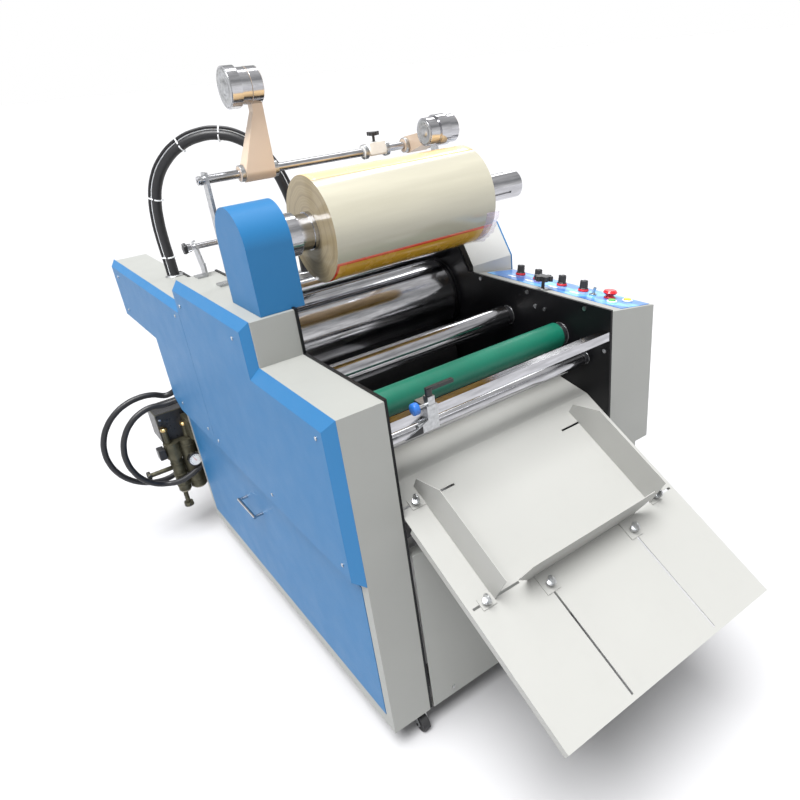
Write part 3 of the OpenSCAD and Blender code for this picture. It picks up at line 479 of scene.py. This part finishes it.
def oval(width, length, steps=32):
    """A slot-shaped outline with round ends, long along Y."""
    half = (length - width) / 2
    points = []
    for i in range(steps):
        angle = 2 * math.pi * i / steps
        shift = half if math.sin(angle) >= 0 else -half
        points.append((width / 2 * math.cos(angle), width / 2 * math.sin(angle) + shift))
    return points


def put(mesh, matrix):
    mesh.transform(matrix)
    return mesh


def turned(place_at, axis):
    """Matrix that takes +Z to axis and the origin to place_at."""
    turn = Vector(axis).to_track_quat("Z", "Y").to_matrix().to_4x4()
    return Matrix.Translation(Vector(place_at)) @ turn


# ------------------------------------------------------------------ film roll

ROLL_LOW, ROLL_HIGH = (Vector(corner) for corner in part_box("film_roll"))
ROLL_MID = (ROLL_LOW + ROLL_HIGH) / 2
ROLL_R = (ROLL_HIGH.z - ROLL_LOW.z) / 2


def arc_sheet(name, x0, x1, start, end, radius, material, steps=96, wave=None):
    """A sheet wrapped round the roll's axis between two angles; UV goes along and round it."""
    mesh = bpy.data.meshes.new(name)
    build = bmesh.new()
    layer = build.loops.layers.uv.new("UVMap")
    columns = 24
    grid = []
    for i in range(steps + 1):
        angle = math.radians(start + (end - start) * i / steps)
        row = []
        for k in range(columns + 1):
            along = k / columns
            out = radius + (wave(angle, along) if wave else 0)
            row.append(build.verts.new((x0 + (x1 - x0) * along, ROLL_MID.y - out * math.cos(angle),
                                        ROLL_MID.z + out * math.sin(angle))))
        grid.append(row)
    for i in range(steps):
        for k in range(columns):
            face = build.faces.new((grid[i][k], grid[i][k + 1], grid[i + 1][k + 1], grid[i + 1][k]))
            places = ((k, i), (k + 1, i), (k + 1, i + 1), (k, i + 1))
            for loop, (u, v) in zip(face.loops, places):
                loop[layer].uv = (u / columns, v / steps)
    build.normal_update()
    build.to_mesh(mesh)
    build.free()
    obj = piece(name, mesh, material, "unwind_shaft")
    thick = obj.modifiers.new("thickness", "SOLIDIFY")
    thick.thickness = 0.0003
    thick.offset = 0
    return obj


def film():
    arc_sheet("wrapper_band", ROLL_LOW.x + 0.001, ROLL_HIGH.x - 0.001, -31, -292, ROLL_R + 0.0004,
              "wrapper")

    def crumple(angle, along):
        return 0.001 + 0.004 * along * (1 + 0.7 * math.sin(9 * angle + 2.5) * math.sin(23 * angle))

    arc_sheet("wrapper_end", ROLL_HIGH.x - 0.03, ROLL_HIGH.x + 0.011, -14, -80, ROLL_R,
              "clear_wrap", wave=crumple)


# ------------------------------------------------------------------ controls

KNOBS = ("speed_knob", "pressure_knob", "heat_knob", "tension_knob")
JOINTS = {joint["name"]: joint for joint in frame["record"]["behaviour"]["joints"]}
PANEL_UP = Vector(JOINTS["speed_knob_turn"]["axis"])
KNOB_AT = {name: Vector(JOINTS[name + "_turn"]["pos_m"]) for name in KNOBS}
PANEL_SKIN = 0.0016
LABEL_OFF = 0.036


def on_panel(at, lift=0.0):
    """Matrix of the panel's plane at a point on it, lifted off it."""
    right = Vector((PANEL_UP.z, 0, -PANEL_UP.x))
    turn = Matrix((right, Vector((0, 1, 0)), PANEL_UP)).transposed().to_4x4()
    return Matrix.Translation(at + PANEL_UP * (PANEL_SKIN + lift)) @ turn


def knob(name):
    flutes = 16
    outline = [(3.0, -4.0), (3.0, 7.9), (13.2, 8.0), (14.0, 8.6), (14.0, 10.4), (12.6, 11.2),
               (12.0, 12.4), (11.4, 30.6), (10.6, 32.4), (8.6, 33.2), (0.4, 33.4)]

    def ripple(angle):
        return -0.03 * (1 + math.cos(flutes * angle))

    at = KNOB_AT[name]
    matrix = on_panel(at, -PANEL_SKIN)
    body = piece(name + "_cap", put(lathe(outline, 96, ripple), matrix), "black_plastic", name)
    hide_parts(name)
    line = plate(rectangle(-0.0009, 0.002, 0.0009, 0.0095), 0.0004)
    piece(name + "_mark", put(line, on_panel(at, 0.0333 - PANEL_SKIN)), "white_print", name,
          smooth=False)


def dial(name):
    """Red collar and a ring of plain white ticks printed round a knob."""
    at = KNOB_AT[name]
    collar = lathe_ring(5.0, 15.5, 6.8)
    piece(name + "_collar", put(collar, on_panel(at, 0.00005)), "red_print", BODY,
          bevel=1.6)
    ticks, sweep = 11, 280
    for i in range(ticks):
        angle = math.radians(sweep * (i / (ticks - 1) - 0.5))
        tick = plate(rectangle(-0.0005, 0.0192, 0.0005, 0.0222), 0.0002)
        matrix = on_panel(at, 0.00005) @ Matrix.Rotation(angle, 4, "Z")
        piece(name + "_tick_%02d" % i, put(tick, matrix), "white_print", BODY,
              smooth=False)


def controls():
    for name in KNOBS:
        knob(name)
        dial(name)
        label = plate(oval(0.013, 0.034), 0.0003)
        down_panel = Vector((-PANEL_UP.z, 0, PANEL_UP.x)) * LABEL_OFF
        piece(name + "_label", put(label, on_panel(KNOB_AT[name] + down_panel)), "white_print",
              BODY)


# ------------------------------------------------------------------ hoses and their fittings

# The middle of the lay bar lies 14 mm behind the front of the side plates.
PLATES = Vector((middle("lay_bar").x, middle("lay_bar").y - 0.014, 0))


def spot(x, y, z):
    """A point given in millimetres from the middle of the plates' front edge, on the floor."""
    return PLATES + Vector((x, y, z)) / 1000


ARCH = [
    (-372, 1310, 1049.4), (-373, 1310, 1110), (-375, 1308, 1170), (-375, 1300, 1235),
    (-368, 1290, 1300), (-350, 1275, 1360), (-318, 1250, 1412), (-272, 1218, 1452),
    (-220, 1182, 1473), (-168, 1148, 1474), (-118, 1116, 1455), (-76, 1090, 1415),
    (-44, 1070, 1360), (-24, 1060, 1300), (-12, 1056, 1235), (-8, 1056, 1165),
    (-8, 1056, 1095), (-8, 1056, 1018.4)]
ARCH_SIDE = Vector((0.572, 0.82, 0))
LOOP_R = 11


def heading(route, i):
    return (route[min(i + 1, len(route) - 1)] - route[max(i - 1, 0)]).normalized()


def beside(route, off):
    """The arch's route moved outwards in its own plane, by off metres."""
    return [route[i] + heading(route, i).cross(ARCH_SIDE).normalized() * off
            for i in range(len(route))]


def loop(cx, cz, rx, rz, y, drift, angles):
    made = []
    for a in angles:
        turn = math.radians(a)
        made.append(spot(cx + rx * math.cos(turn), y + a * drift, cz + rz * math.sin(turn)))
    return made


def outer_route():
    start = [spot(-398, 1344.6, 610), spot(-398, 1375, 610), spot(-408, 1415, 611),
             spot(-440, 1445, 604)]
    end = [spot(-530, 1520, 222), spot(-480, 1520, 242), spot(-435, 1514, 268),
           spot(-417, 1512, 276), spot(-401.5, 1512, 277)]
    return start + loop(-575, 407, 184, 192, 1462, 0.2, range(62, 271, 16)) + end


def inner_route():
    start = [spot(-422, 1344.6, 560), spot(-422, 1366, 560), spot(-448, 1392, 573)]
    end = [spot(-555, 1392, 250), spot(-520, 1380, 262), spot(-440, 1372, 300),
           spot(-416, 1369, 309), spot(-401.5, 1369, 310)]
    return start + loop(-560, 410, 146, 168, 1400, 0.06, range(75, 256, 18)) + end


def hose(name, route, radius_mm, material="hose_rubber", replaces=False):
    curve = bpy.data.curves.new(name, "CURVE")
    curve.dimensions = "3D"
    curve.bevel_depth = radius_mm / 1000
    curve.bevel_resolution = 6
    curve.use_fill_caps = True
    curve.resolution_u = 5
    spline = curve.splines.new("BEZIER")
    spline.bezier_points.add(len(route) - 1)
    for point, place_at in zip(spline.bezier_points, route):
        point.co = place_at
        point.handle_left_type = "AUTO"
        point.handle_right_type = "AUTO"
    obj = bpy.data.objects.new(name, curve)
    bpy.context.collection.objects.link(obj)
    curve.materials.append(MATERIALS[material])
    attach(obj, BODY)
    if replaces:
        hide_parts("hoses")
    return obj


def cable_tie(name, route, i, along=0.0):
    """A white tie round the thick hose, the white tube and the thin hose."""
    forward = heading(route, i)
    out = forward.cross(ARCH_SIDE).normalized()
    side = forward.cross(out).normalized()
    turn = Matrix((side, out, forward)).transposed().to_4x4()
    at = route[i] + forward * along
    outline = []
    for k in range(36):
        angle = 2 * math.pi * k / 36
        far = math.sin(angle) > 0
        r = 0.0062 if far else 0.0158
        outline.append((r * math.cos(angle), r * math.sin(angle) + (0.022 if far else 0)))
    band = plate(outline, 0.0045)
    piece(name, put(band, Matrix.Translation(at) @ turn), "white_print", BODY,
          bevel=0.8)
    lock = plate(rectangle(-0.004, -0.021, 0.004, -0.0145), 0.006)
    piece(name + "_lock", put(lock, Matrix.Translation(at) @ turn), "white_print", BODY,
          bevel=0.8)


def hose_end(name, at, axis, radius_mm, length_mm=22):
    ferrule = lathe([(radius_mm * 0.5, 0), (radius_mm + 4.5, 0), (radius_mm + 4.5, length_mm * 0.4),
                     (radius_mm + 1.2, length_mm * 0.45), (radius_mm + 1.2, length_mm)], 6)
    piece(name, put(ferrule, turned(at, axis)), "brass", BODY, bevel=0.6,
          smooth=False)


def hoses():
    arch = [spot(*point) for point in ARCH]
    hose("arch_hose", arch, 15, replaces=True)
    hose("signal_hose", beside(arch, 0.022), 5)
    hose("white_tube", beside(arch, 0.0165), 2.6, "white_print")
    outer, inner = outer_route(), inner_route()
    hose("outer_loop_hose", outer, LOOP_R)
    hose("inner_loop_hose", inner, LOOP_R)
    for number, i in enumerate((1, 4, 7, 9, 12)):
        cable_tie("cable_tie_%d" % number, arch, i)
    for name, point in (("left_grommet", arch[0]), ("right_grommet", arch[-1])):
        flange = lathe([(15.4, 0), (27, 0), (26, 2.5), (20, 4), (15.4, 4)], 48)
        piece(name, put(flange, Matrix.Translation(point) @ Matrix.Scale(1.25, 4, (1, 0, 0))),
              "zinc", BODY)
    hose_end("outer_start_fitting", outer[0], (0, 1, 0), LOOP_R)
    hose_end("inner_start_fitting", inner[0], (0, 1, 0), LOOP_R)
    hose_end("outer_end_fitting", outer[-1], (-1, 0, 0), LOOP_R)
    hose_end("inner_end_fitting", inner[-1], (-1, 0, 0), LOOP_R)


# ------------------------------------------------------------------ rollers' ends

ROLLER_NODES = ("guide_roller", "feed_roller", "front_roller")
SIDES = ((-1, "left"), (1, "right"))


def ring(name, at, axis, inner_mm, outer_mm, length_mm, material, body, bevel=0.0):
    mesh = lathe_ring(inner_mm, outer_mm, length_mm)
    return piece(name, put(mesh, turned(at, axis)), material, body, bevel)


def lathe_ring(inner_mm, outer_mm, length_mm, steps=56):
    """A tube of rectangular section round +Z, starting at the origin."""
    mesh = bpy.data.meshes.new("ring")
    build = bmesh.new()
    section = [(inner_mm, 0), (outer_mm, 0), (outer_mm, length_mm), (inner_mm, length_mm)]
    turns = []
    for i in range(steps):
        angle = 2 * math.pi * i / steps
        turns.append([build.verts.new((r * math.cos(angle) / 1000, r * math.sin(angle) / 1000,
                                       h / 1000)) for r, h in section])
    for i in range(steps):
        here, after = turns[i], turns[(i + 1) % steps]
        for k in range(4):
            build.faces.new((here[k], after[k], after[(k + 1) % 4], here[(k + 1) % 4]))
    build.normal_update()
    build.to_mesh(mesh)
    build.free()
    return mesh


def roller_ends():
    """Black bearing cups with a bright snap ring where each roller meets the side plates."""
    plate_in = {-1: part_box("left_side_plate")[1][0], 1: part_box("right_side_plate")[0][0]}
    for name in ROLLER_NODES:
        low, high = (Vector(c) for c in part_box(name))
        centre = (low + high) / 2
        radius = (high.z - low.z) / 2 * 1000
        for side, word in SIDES:
            at = Vector((plate_in[side], centre.y, centre.z))
            axis = (-side, 0, 0)
            ring("%s_%s_cup" % (name, word), at, axis, radius * 0.62 + 0.5, radius * 0.84, 13,
                 "black_plastic", BODY, 1.0)
            ring("%s_%s_snap_ring" % (name, word), at, axis, radius * 0.84 + 0.3, radius * 0.93,
                 1.6, "zinc", BODY, 0.4)
    heated = middle("heated_roller")
    radius = (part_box("heated_roller")[1][2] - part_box("heated_roller")[0][2]) / 2 * 1000
    for side, word in SIDES:
        at = Vector((plate_in[side], heated.y, heated.z))
        ring("heated_roller_%s_shroud" % word, at, (-side, 0, 0), radius - 16.4, radius + 5, 3.0,
             "black_plate", BODY, 0.8)
        ring("heated_roller_%s_band" % word, at - Vector((side * 0.0042, 0, 0)), (-side, 0, 0),
             radius - 16.8, radius - 6, 14.4, "black_steel", "heated_roller", 1.0)


# ------------------------------------------------------------------ arms, bars and brackets

def arm_trim():
    """Chromed head housings, clamp collars and end caps of the arms and bars."""
    bar = Vector(JOINTS["left_arm_swing"]["pos_m"])
    heads = (("left", -206, -176, 44, -262, 50), ("right", 262, 290, 36, 196, 36))
    for word, x0, x1, r, wheel_x0, wheel_r in heads:
        body = word + "_arm"
        head = Vector(JOINTS[word + "_press_wheel_spin"]["pos_m"])
        at = Vector((spot(x0, 0, 0).x, head.y, head.z))
        ring(word + "_head_shell", at + Vector((0.0005, 0, 0)), (1, 0, 0), r - 0.5, r + 0.6,
             x1 - x0 - 1, "chrome", body, 0.6)
        cap_at = Vector((spot(x1, 0, 0).x + 0.0002, head.y, head.z))
        cap = lathe([(r - 0.4, -0.1), (r - 1.5, 1.2), (r * 0.5, 1.6), (r * 0.47, 0.9),
                     (11.0, 0.9)], 56)
        piece(word + "_head_cap", put(cap, turned(cap_at, (1, 0, 0))), "chrome", body)
        face_at = Vector((spot(wheel_x0, 0, 0).x - 0.0002, head.y, head.z))
        face = lathe([(wheel_r - 4, 0), (wheel_r - 5, 1.2), (wheel_r * 0.62, 1.4),
                      (wheel_r * 0.6, 0.6), (wheel_r * 0.34, 0.6), (wheel_r * 0.32, 3.0),
                      (wheel_r * 0.2, 3.6), (1, 3.6)], 56)
        piece(word + "_wheel_face", put(face, turned(face_at, (-1, 0, 0))), "zinc",
              word + "_press_wheel")
    for word, x0, x1 in (("left", -262, -180), ("right", 262, 330)):
        for end, start in (("outer", x0 - 12.2), ("inner", x1 + 0.2)):
            at = Vector((spot(start, 0, 0).x, bar.y, bar.z))
            ring("%s_arm_%s_collar" % (word, end), at, (1, 0, 0), 18.6, 21.5, 12, "zinc",
                 word + "_arm", 0.8)
    for side, word in SIDES:
        at = Vector((spot(side * 388, 0, 0).x, bar.y, bar.z)) - Vector((side * 0.012, 0, 0))
        nut = lathe([(2, 0), (12.5, 0), (12.5, 8), (9, 9.5), (5, 9.5), (5, 12), (1, 12)], 6)
        piece("pivot_bar_%s_nut" % word, put(nut, turned(at, (side, 0, 0))), "zinc", BODY,
              bevel=0.6, smooth=False)
    for end, start in (("left", 107.8), ("right", 180.2)):
        at = Vector((spot(start, 0, 0).x, bar.y, bar.z))
        ring("slitter_%s_sleeve" % end, at, (1, 0, 0), 18.2, 20.5, 12, "zinc", "slitter",
             0.8)
    rod_low = Vector(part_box("rear_bars")[0])
    wing_at = Vector((rod_low.x + 0.0005, spot(0, 930, 0).y, spot(0, 0, 1205).z))
    wing = lathe([(4, 0), (16, 1), (17, 6), (15, 11), (6, 12.5), (1, 12.5)], 60,
                 lambda a: -0.14 * (1 + math.cos(5 * a)))
    piece("tension_wing_knob", put(wing, turned(wing_at + Vector((0.001, 0, 0)), (-1, 0, 0))),
          "black_plastic", BODY, bevel=0.5)


# ------------------------------------------------------------------ lay gauge

def gauge_trim():
    gauge_x, bar_y, bar_z = -242, 14, 943
    knob_at = spot(gauge_x - 47, bar_y - 20, bar_z + 26)
    cap = lathe([(2, 0), (13.6, 0.4), (14.2, 3), (14.2, 11), (13.4, 13.4), (4.4, 13.4)], 60,
                lambda a: -0.02 * (1 + math.cos(20 * a)))
    piece("gauge_blue_knob", put(cap, turned(knob_at, (1, 0, 0))), "blue_knob", "lay_gauge")
    pointer = plate([(-0.078, -0.034), (-0.030, -0.034), (-0.030, -0.0165)], 0.0008)
    turn = Matrix(((1, 0, 0), (0, 0, 1), (0, 1, 0))).to_4x4()
    at = spot(gauge_x, bar_y - 28.4, bar_z)
    piece("gauge_pointer", put(pointer, Matrix.Translation(at) @ turn), "black_print_and_shade", "lay_gauge",
          smooth=False)


# ------------------------------------------------------------------ table's clamp screws

TABLE_SLOPE = math.radians(29.5)
TABLE_FRONT = spot(0, -512.45, 413)
CLAMPS = (("left_side_guide", -299, 334), ("left_side_guide", -299, 614),
          ("right_side_guide", 271, 334), ("right_side_guide", 271, 614),
          ("back_stop", -142, 294), ("back_stop", 142, 294))


def clamp_screws():
    """Zinc collars and flat round heads over the screws of the guides and the back stop."""
    turn = Matrix.Rotation(TABLE_SLOPE, 4, "X")
    for number, (body, x, u) in enumerate(CLAMPS):
        on_table = Matrix.Translation((x / 1000, u / 1000, 0.0048))
        base = Matrix.Translation(TABLE_FRONT) @ turn @ on_table
        collar = lathe([(6.3, 0.1), (7.5, 0.4), (7.5, 7.4), (9.8, 7.8), (9.8, 12.2), (6, 13.4),
                        (1, 13.4)], 40)
        piece("clamp_%d_collar" % number, put(collar, base), "zinc", body, bevel=0.4)
        outline = [(0.0126 * math.cos(math.pi * k / 18), 0.0126 * math.sin(math.pi * k / 18))
                   for k in range(36)]
        head = plate(outline, 0.0042)
        upright = Matrix.Translation((-0.0021, 0, 0.0195)) @ Matrix.Rotation(math.pi / 2, 4, "Y")
        piece("clamp_%d_head" % number, put(head, base @ upright), "zinc", body, bevel=1.0)


# ------------------------------------------------------------------ air unit

UNIT_Y = 1430


def air_unit_trim():
    """The gauge's face, lugs, bowls' bands and cups, and shells over the block, valve and knobs."""
    face_at = middle("pressure_gauge")
    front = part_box("pressure_gauge")[0][1]
    dial_at = Vector((face_at.x, front - 0.0001, face_at.z))
    ring("gauge_bezel", dial_at + Vector((0, 0.004, 0)), (0, -1, 0), 23.5, 27.6, 6.5,
         "black_plastic", BODY, 1.0)
    disc = lathe([(23.4, 0), (23.4, 0.6), (1, 0.6)], 48)
    piece("gauge_dial", put(disc, turned(dial_at, (0, -1, 0))), "white_print", BODY,
          smooth=False)
    upright = Matrix(((1, 0, 0), (0, 0, -1), (0, 1, 0))).to_4x4()
    marks, sweep = 13, 270
    for i in range(marks):
        angle = math.radians(sweep * (i / (marks - 1) - 0.5))
        mark = plate(rectangle(-0.0005, 0.0165, 0.0005, 0.0205), 0.0003)
        on_dial = Matrix.Translation(dial_at + Vector((0, -0.0006, 0))) @ upright
        piece("gauge_tick_%02d" % i, put(mark, on_dial @ Matrix.Rotation(angle, 4, "Z")),
              "black_print_and_shade", BODY, smooth=False)
    needle = plate([(-0.0009, -0.005), (0.0009, -0.005), (0.0003, 0.0155), (-0.0003, 0.0155)],
                   0.0004)
    on_dial = Matrix.Translation(dial_at + Vector((0, -0.0011, 0))) @ upright
    piece("gauge_needle", put(needle, on_dial @ Matrix.Rotation(math.radians(28), 4, "Z")),
          "red_print", BODY, smooth=False)
    for number, x in enumerate((-545, -470)):
        at = spot(x, UNIT_Y, 459.5 - 2)
        lug = lathe([(1, 0), (12.5, 0), (13.5, 3), (13.5, 9), (11, 12), (5, 13.5), (1, 13.5)], 40)
        piece("brass_lug_%d" % number, put(lug, Matrix.Translation(at)), "brass", BODY)
    for number, (x, z0, r, h) in enumerate(((-478, 190, 32, 205), (-535, 190, 24, 140))):
        for step in range(3):
            at = spot(x, UNIT_Y, z0 + 20 + step * (h - 40) / 2)
            ring("bowl_%d_band_%d" % (number, step), at, (0, 0, 1), r - 0.5, r + 2.0, 7,
                 "air_casting", BODY, 1.2)
        bowl = lathe([(r * 0.3, -12), (r * 0.8, -8), (r * 0.97, 0), (r * 0.97, 3), (1, 3)], 48)
        piece("bowl_%d_cup" % number, put(bowl, Matrix.Translation(spot(x, UNIT_Y, z0))),
              "clear_bowl", BODY)
    shell = plate(rectangle(-0.0908, -0.0608, 0.0908, 0.0608), 0.1216)
    piece("manifold_shell", put(shell, Matrix.Translation(spot(-470, 1500, 404.2))),
          "black_plastic", BODY, bevel=5, smooth=False)
    square = plate(rectangle(-0.022, -0.022, 0.022, 0.022), 0.027)
    piece("regulator_block", put(square, turned(spot(-565.2, UNIT_Y, 372), (-1, 0, 0))),
          "black_plastic", BODY, bevel=4, smooth=False)
    star = lathe([(9.3, 0), (18.4, 1), (19.0, 5), (18.4, 14), (9, 16.5), (1, 16.5)], 60,
                 lambda a: -0.08 * (1 + math.cos(6 * a)))
    piece("drain_knob", put(star, Matrix.Translation(spot(-540, UNIT_Y, 111.8))),
          "black_plastic", BODY, smooth=False)
    knob_at = spot(-640, UNIT_Y + 16, 290)
    wing = lathe([(1, -1), (17.6, -0.6), (18.4, 3), (18.4, 10), (16, 13), (1, 13.4)], 64,
                 lambda a: -0.06 * (1 + math.cos(8 * a)))
    piece("regulator_knob", put(wing, turned(knob_at, (-1, 0, 0))), "black_plastic", BODY)
    for number, (dx, dz) in enumerate(((12, 12), (148, 12), (12, 98), (148, 98))):
        at = spot(-560 + dx, UNIT_Y + 9, 405 + dz)
        bolt = lathe([(1, 0), (5, 0), (5, 3.5), (1, 3.6)], 6)
        piece("manifold_bolt_%d" % number, put(bolt, turned(at, (0, -1, 0))), "zinc", BODY,
              bevel=0.4, smooth=False)


# ------------------------------------------------------------------ casing details

BACK_Y = 1344
LOWER_X = 467
UPPER_X = 515
RIGHT_LOWER = ((60, 135), (60, 550), (690, 135), (690, 550), (1290, 135), (1290, 550))
RIGHT_UPPER = ((610, 680), (610, 960), (900, 1100), (900, 680), (1310, 680), (1310, 1010),
               (1730, 1010), (1730, 870))
REAR = ((-325, 95), (325, 95), (-325, 430), (325, 430), (-325, 780), (325, 780))


def screw(name, at, axis):
    head = lathe([(4.6, -0.2), (5.0, 0.5), (4.4, 1.7), (2.6, 2.3), (2.3, 1.3), (0.3, 1.3)], 24)
    piece(name, put(head, turned(at, axis)), "zinc", BODY)


def louvres(name, at, axis, count, length_mm):
    """A column of pressed vents: a small hood each, over a dark slot of painted shade."""
    casing = "light_casing" if axis[1] else "blue_casing"
    for i in range(count):
        base = at + Vector((0, 0, 0.016 * i))
        # Painted shade: the slot is a flat black sheet standing for the shadowed opening under the
        # hood.
        slot = lathe([(2.4, -0.2), (2.4, 0.3), (0.2, 0.3)], 20)
        stretch = Matrix.Diagonal((length_mm / 4.8, 1, 1, 1))
        piece("%s_slot_%d" % (name, i), put(slot, turned(base, axis) @ stretch), "black_print_and_shade",
              BODY, smooth=False)
        hood = lathe([(3.2, -0.2), (2.8, 1.4), (1.8, 2.2), (0.2, 2.4)], 20)
        stretch = Matrix.Diagonal((length_mm / 6.0, 1, 1, 1))
        over = turned(base + Vector((0, 0, 0.0048)), axis)
        piece("%s_hood_%d" % (name, i), put(hood, over @ stretch), casing, BODY)


def casing_details():
    for number, (y, z) in enumerate(RIGHT_LOWER):
        screw("right_lower_screw_%d" % number, spot(LOWER_X, y, z), (1, 0, 0))
    for number, (y, z) in enumerate(RIGHT_UPPER):
        screw("right_upper_screw_%d" % number, spot(UPPER_X, y, z), (1, 0, 0))
    for number, (x, z) in enumerate(REAR):
        screw("rear_screw_%d" % number, spot(x, BACK_Y, z), (0, 1, 0))
    for number, x in enumerate((-130, 130)):
        louvres("rear_vent_%d" % number, spot(x, BACK_Y, 200), (0, 1, 0), 8, 150)
    louvres("right_vent", spot(LOWER_X, 1130, 220), (1, 0, 0), 8, 150)
    gland = lathe([(3.5, -1), (14, -1), (14, 4), (10.5, 4.5), (9.5, 16), (6, 18), (3.5, 18)], 6)
    piece("cable_gland", put(gland, turned(spot(395, BACK_Y, 150), (0, 1, 0))), "black_plastic",
          BODY, bevel=0.8, smooth=False)


# ------------------------------------------------------------------ panel fittings

def panel_trim():
    """Bezels round the buttons, the toggle and the handwheel's stem."""
    knob_x, knob_y = 112, 478
    bezels = (("stop", (112, 110), 12.0, 16.0, 4.5, "red_plastic"),
              ("start", (78, 72), 10.6, 14.0, 4.0, "white_plastic"),
              ("jog", (125, 58), 10.6, 14.0, 4.0, "white_plastic"),
              ("toggle", (100, 161), 7.2, 11.0, 3.0, "zinc"),
              ("wheel", (26, 287), 6.2, 15.0, 3.5, "zinc"))
    tilt = math.atan2(PANEL_UP.x, PANEL_UP.z)
    origin = KNOB_AT["speed_knob"]
    for name, (x, y), inner, outer, height, material in bezels:
        run = (x - knob_x) / 1000
        at = Vector((origin.x + run, origin.y + (y - knob_y) / 1000,
                     origin.z - run * math.tan(tilt)))
        skin = 0 if name == "wheel" else PANEL_SKIN
        mesh = lathe_ring(inner, outer, height)
        piece(name + "_bezel", put(mesh, on_panel(at, 0.0002 - PANEL_SKIN + skin)), material, BODY,
              bevel=0.8)


def build():
    dress_frame()
    film()
    controls()
    hoses()
    roller_ends()
    arm_trim()
    gauge_trim()
    clamp_screws()
    air_unit_trim()
    panel_trim()
    casing_details()


camera()
studio()
build()
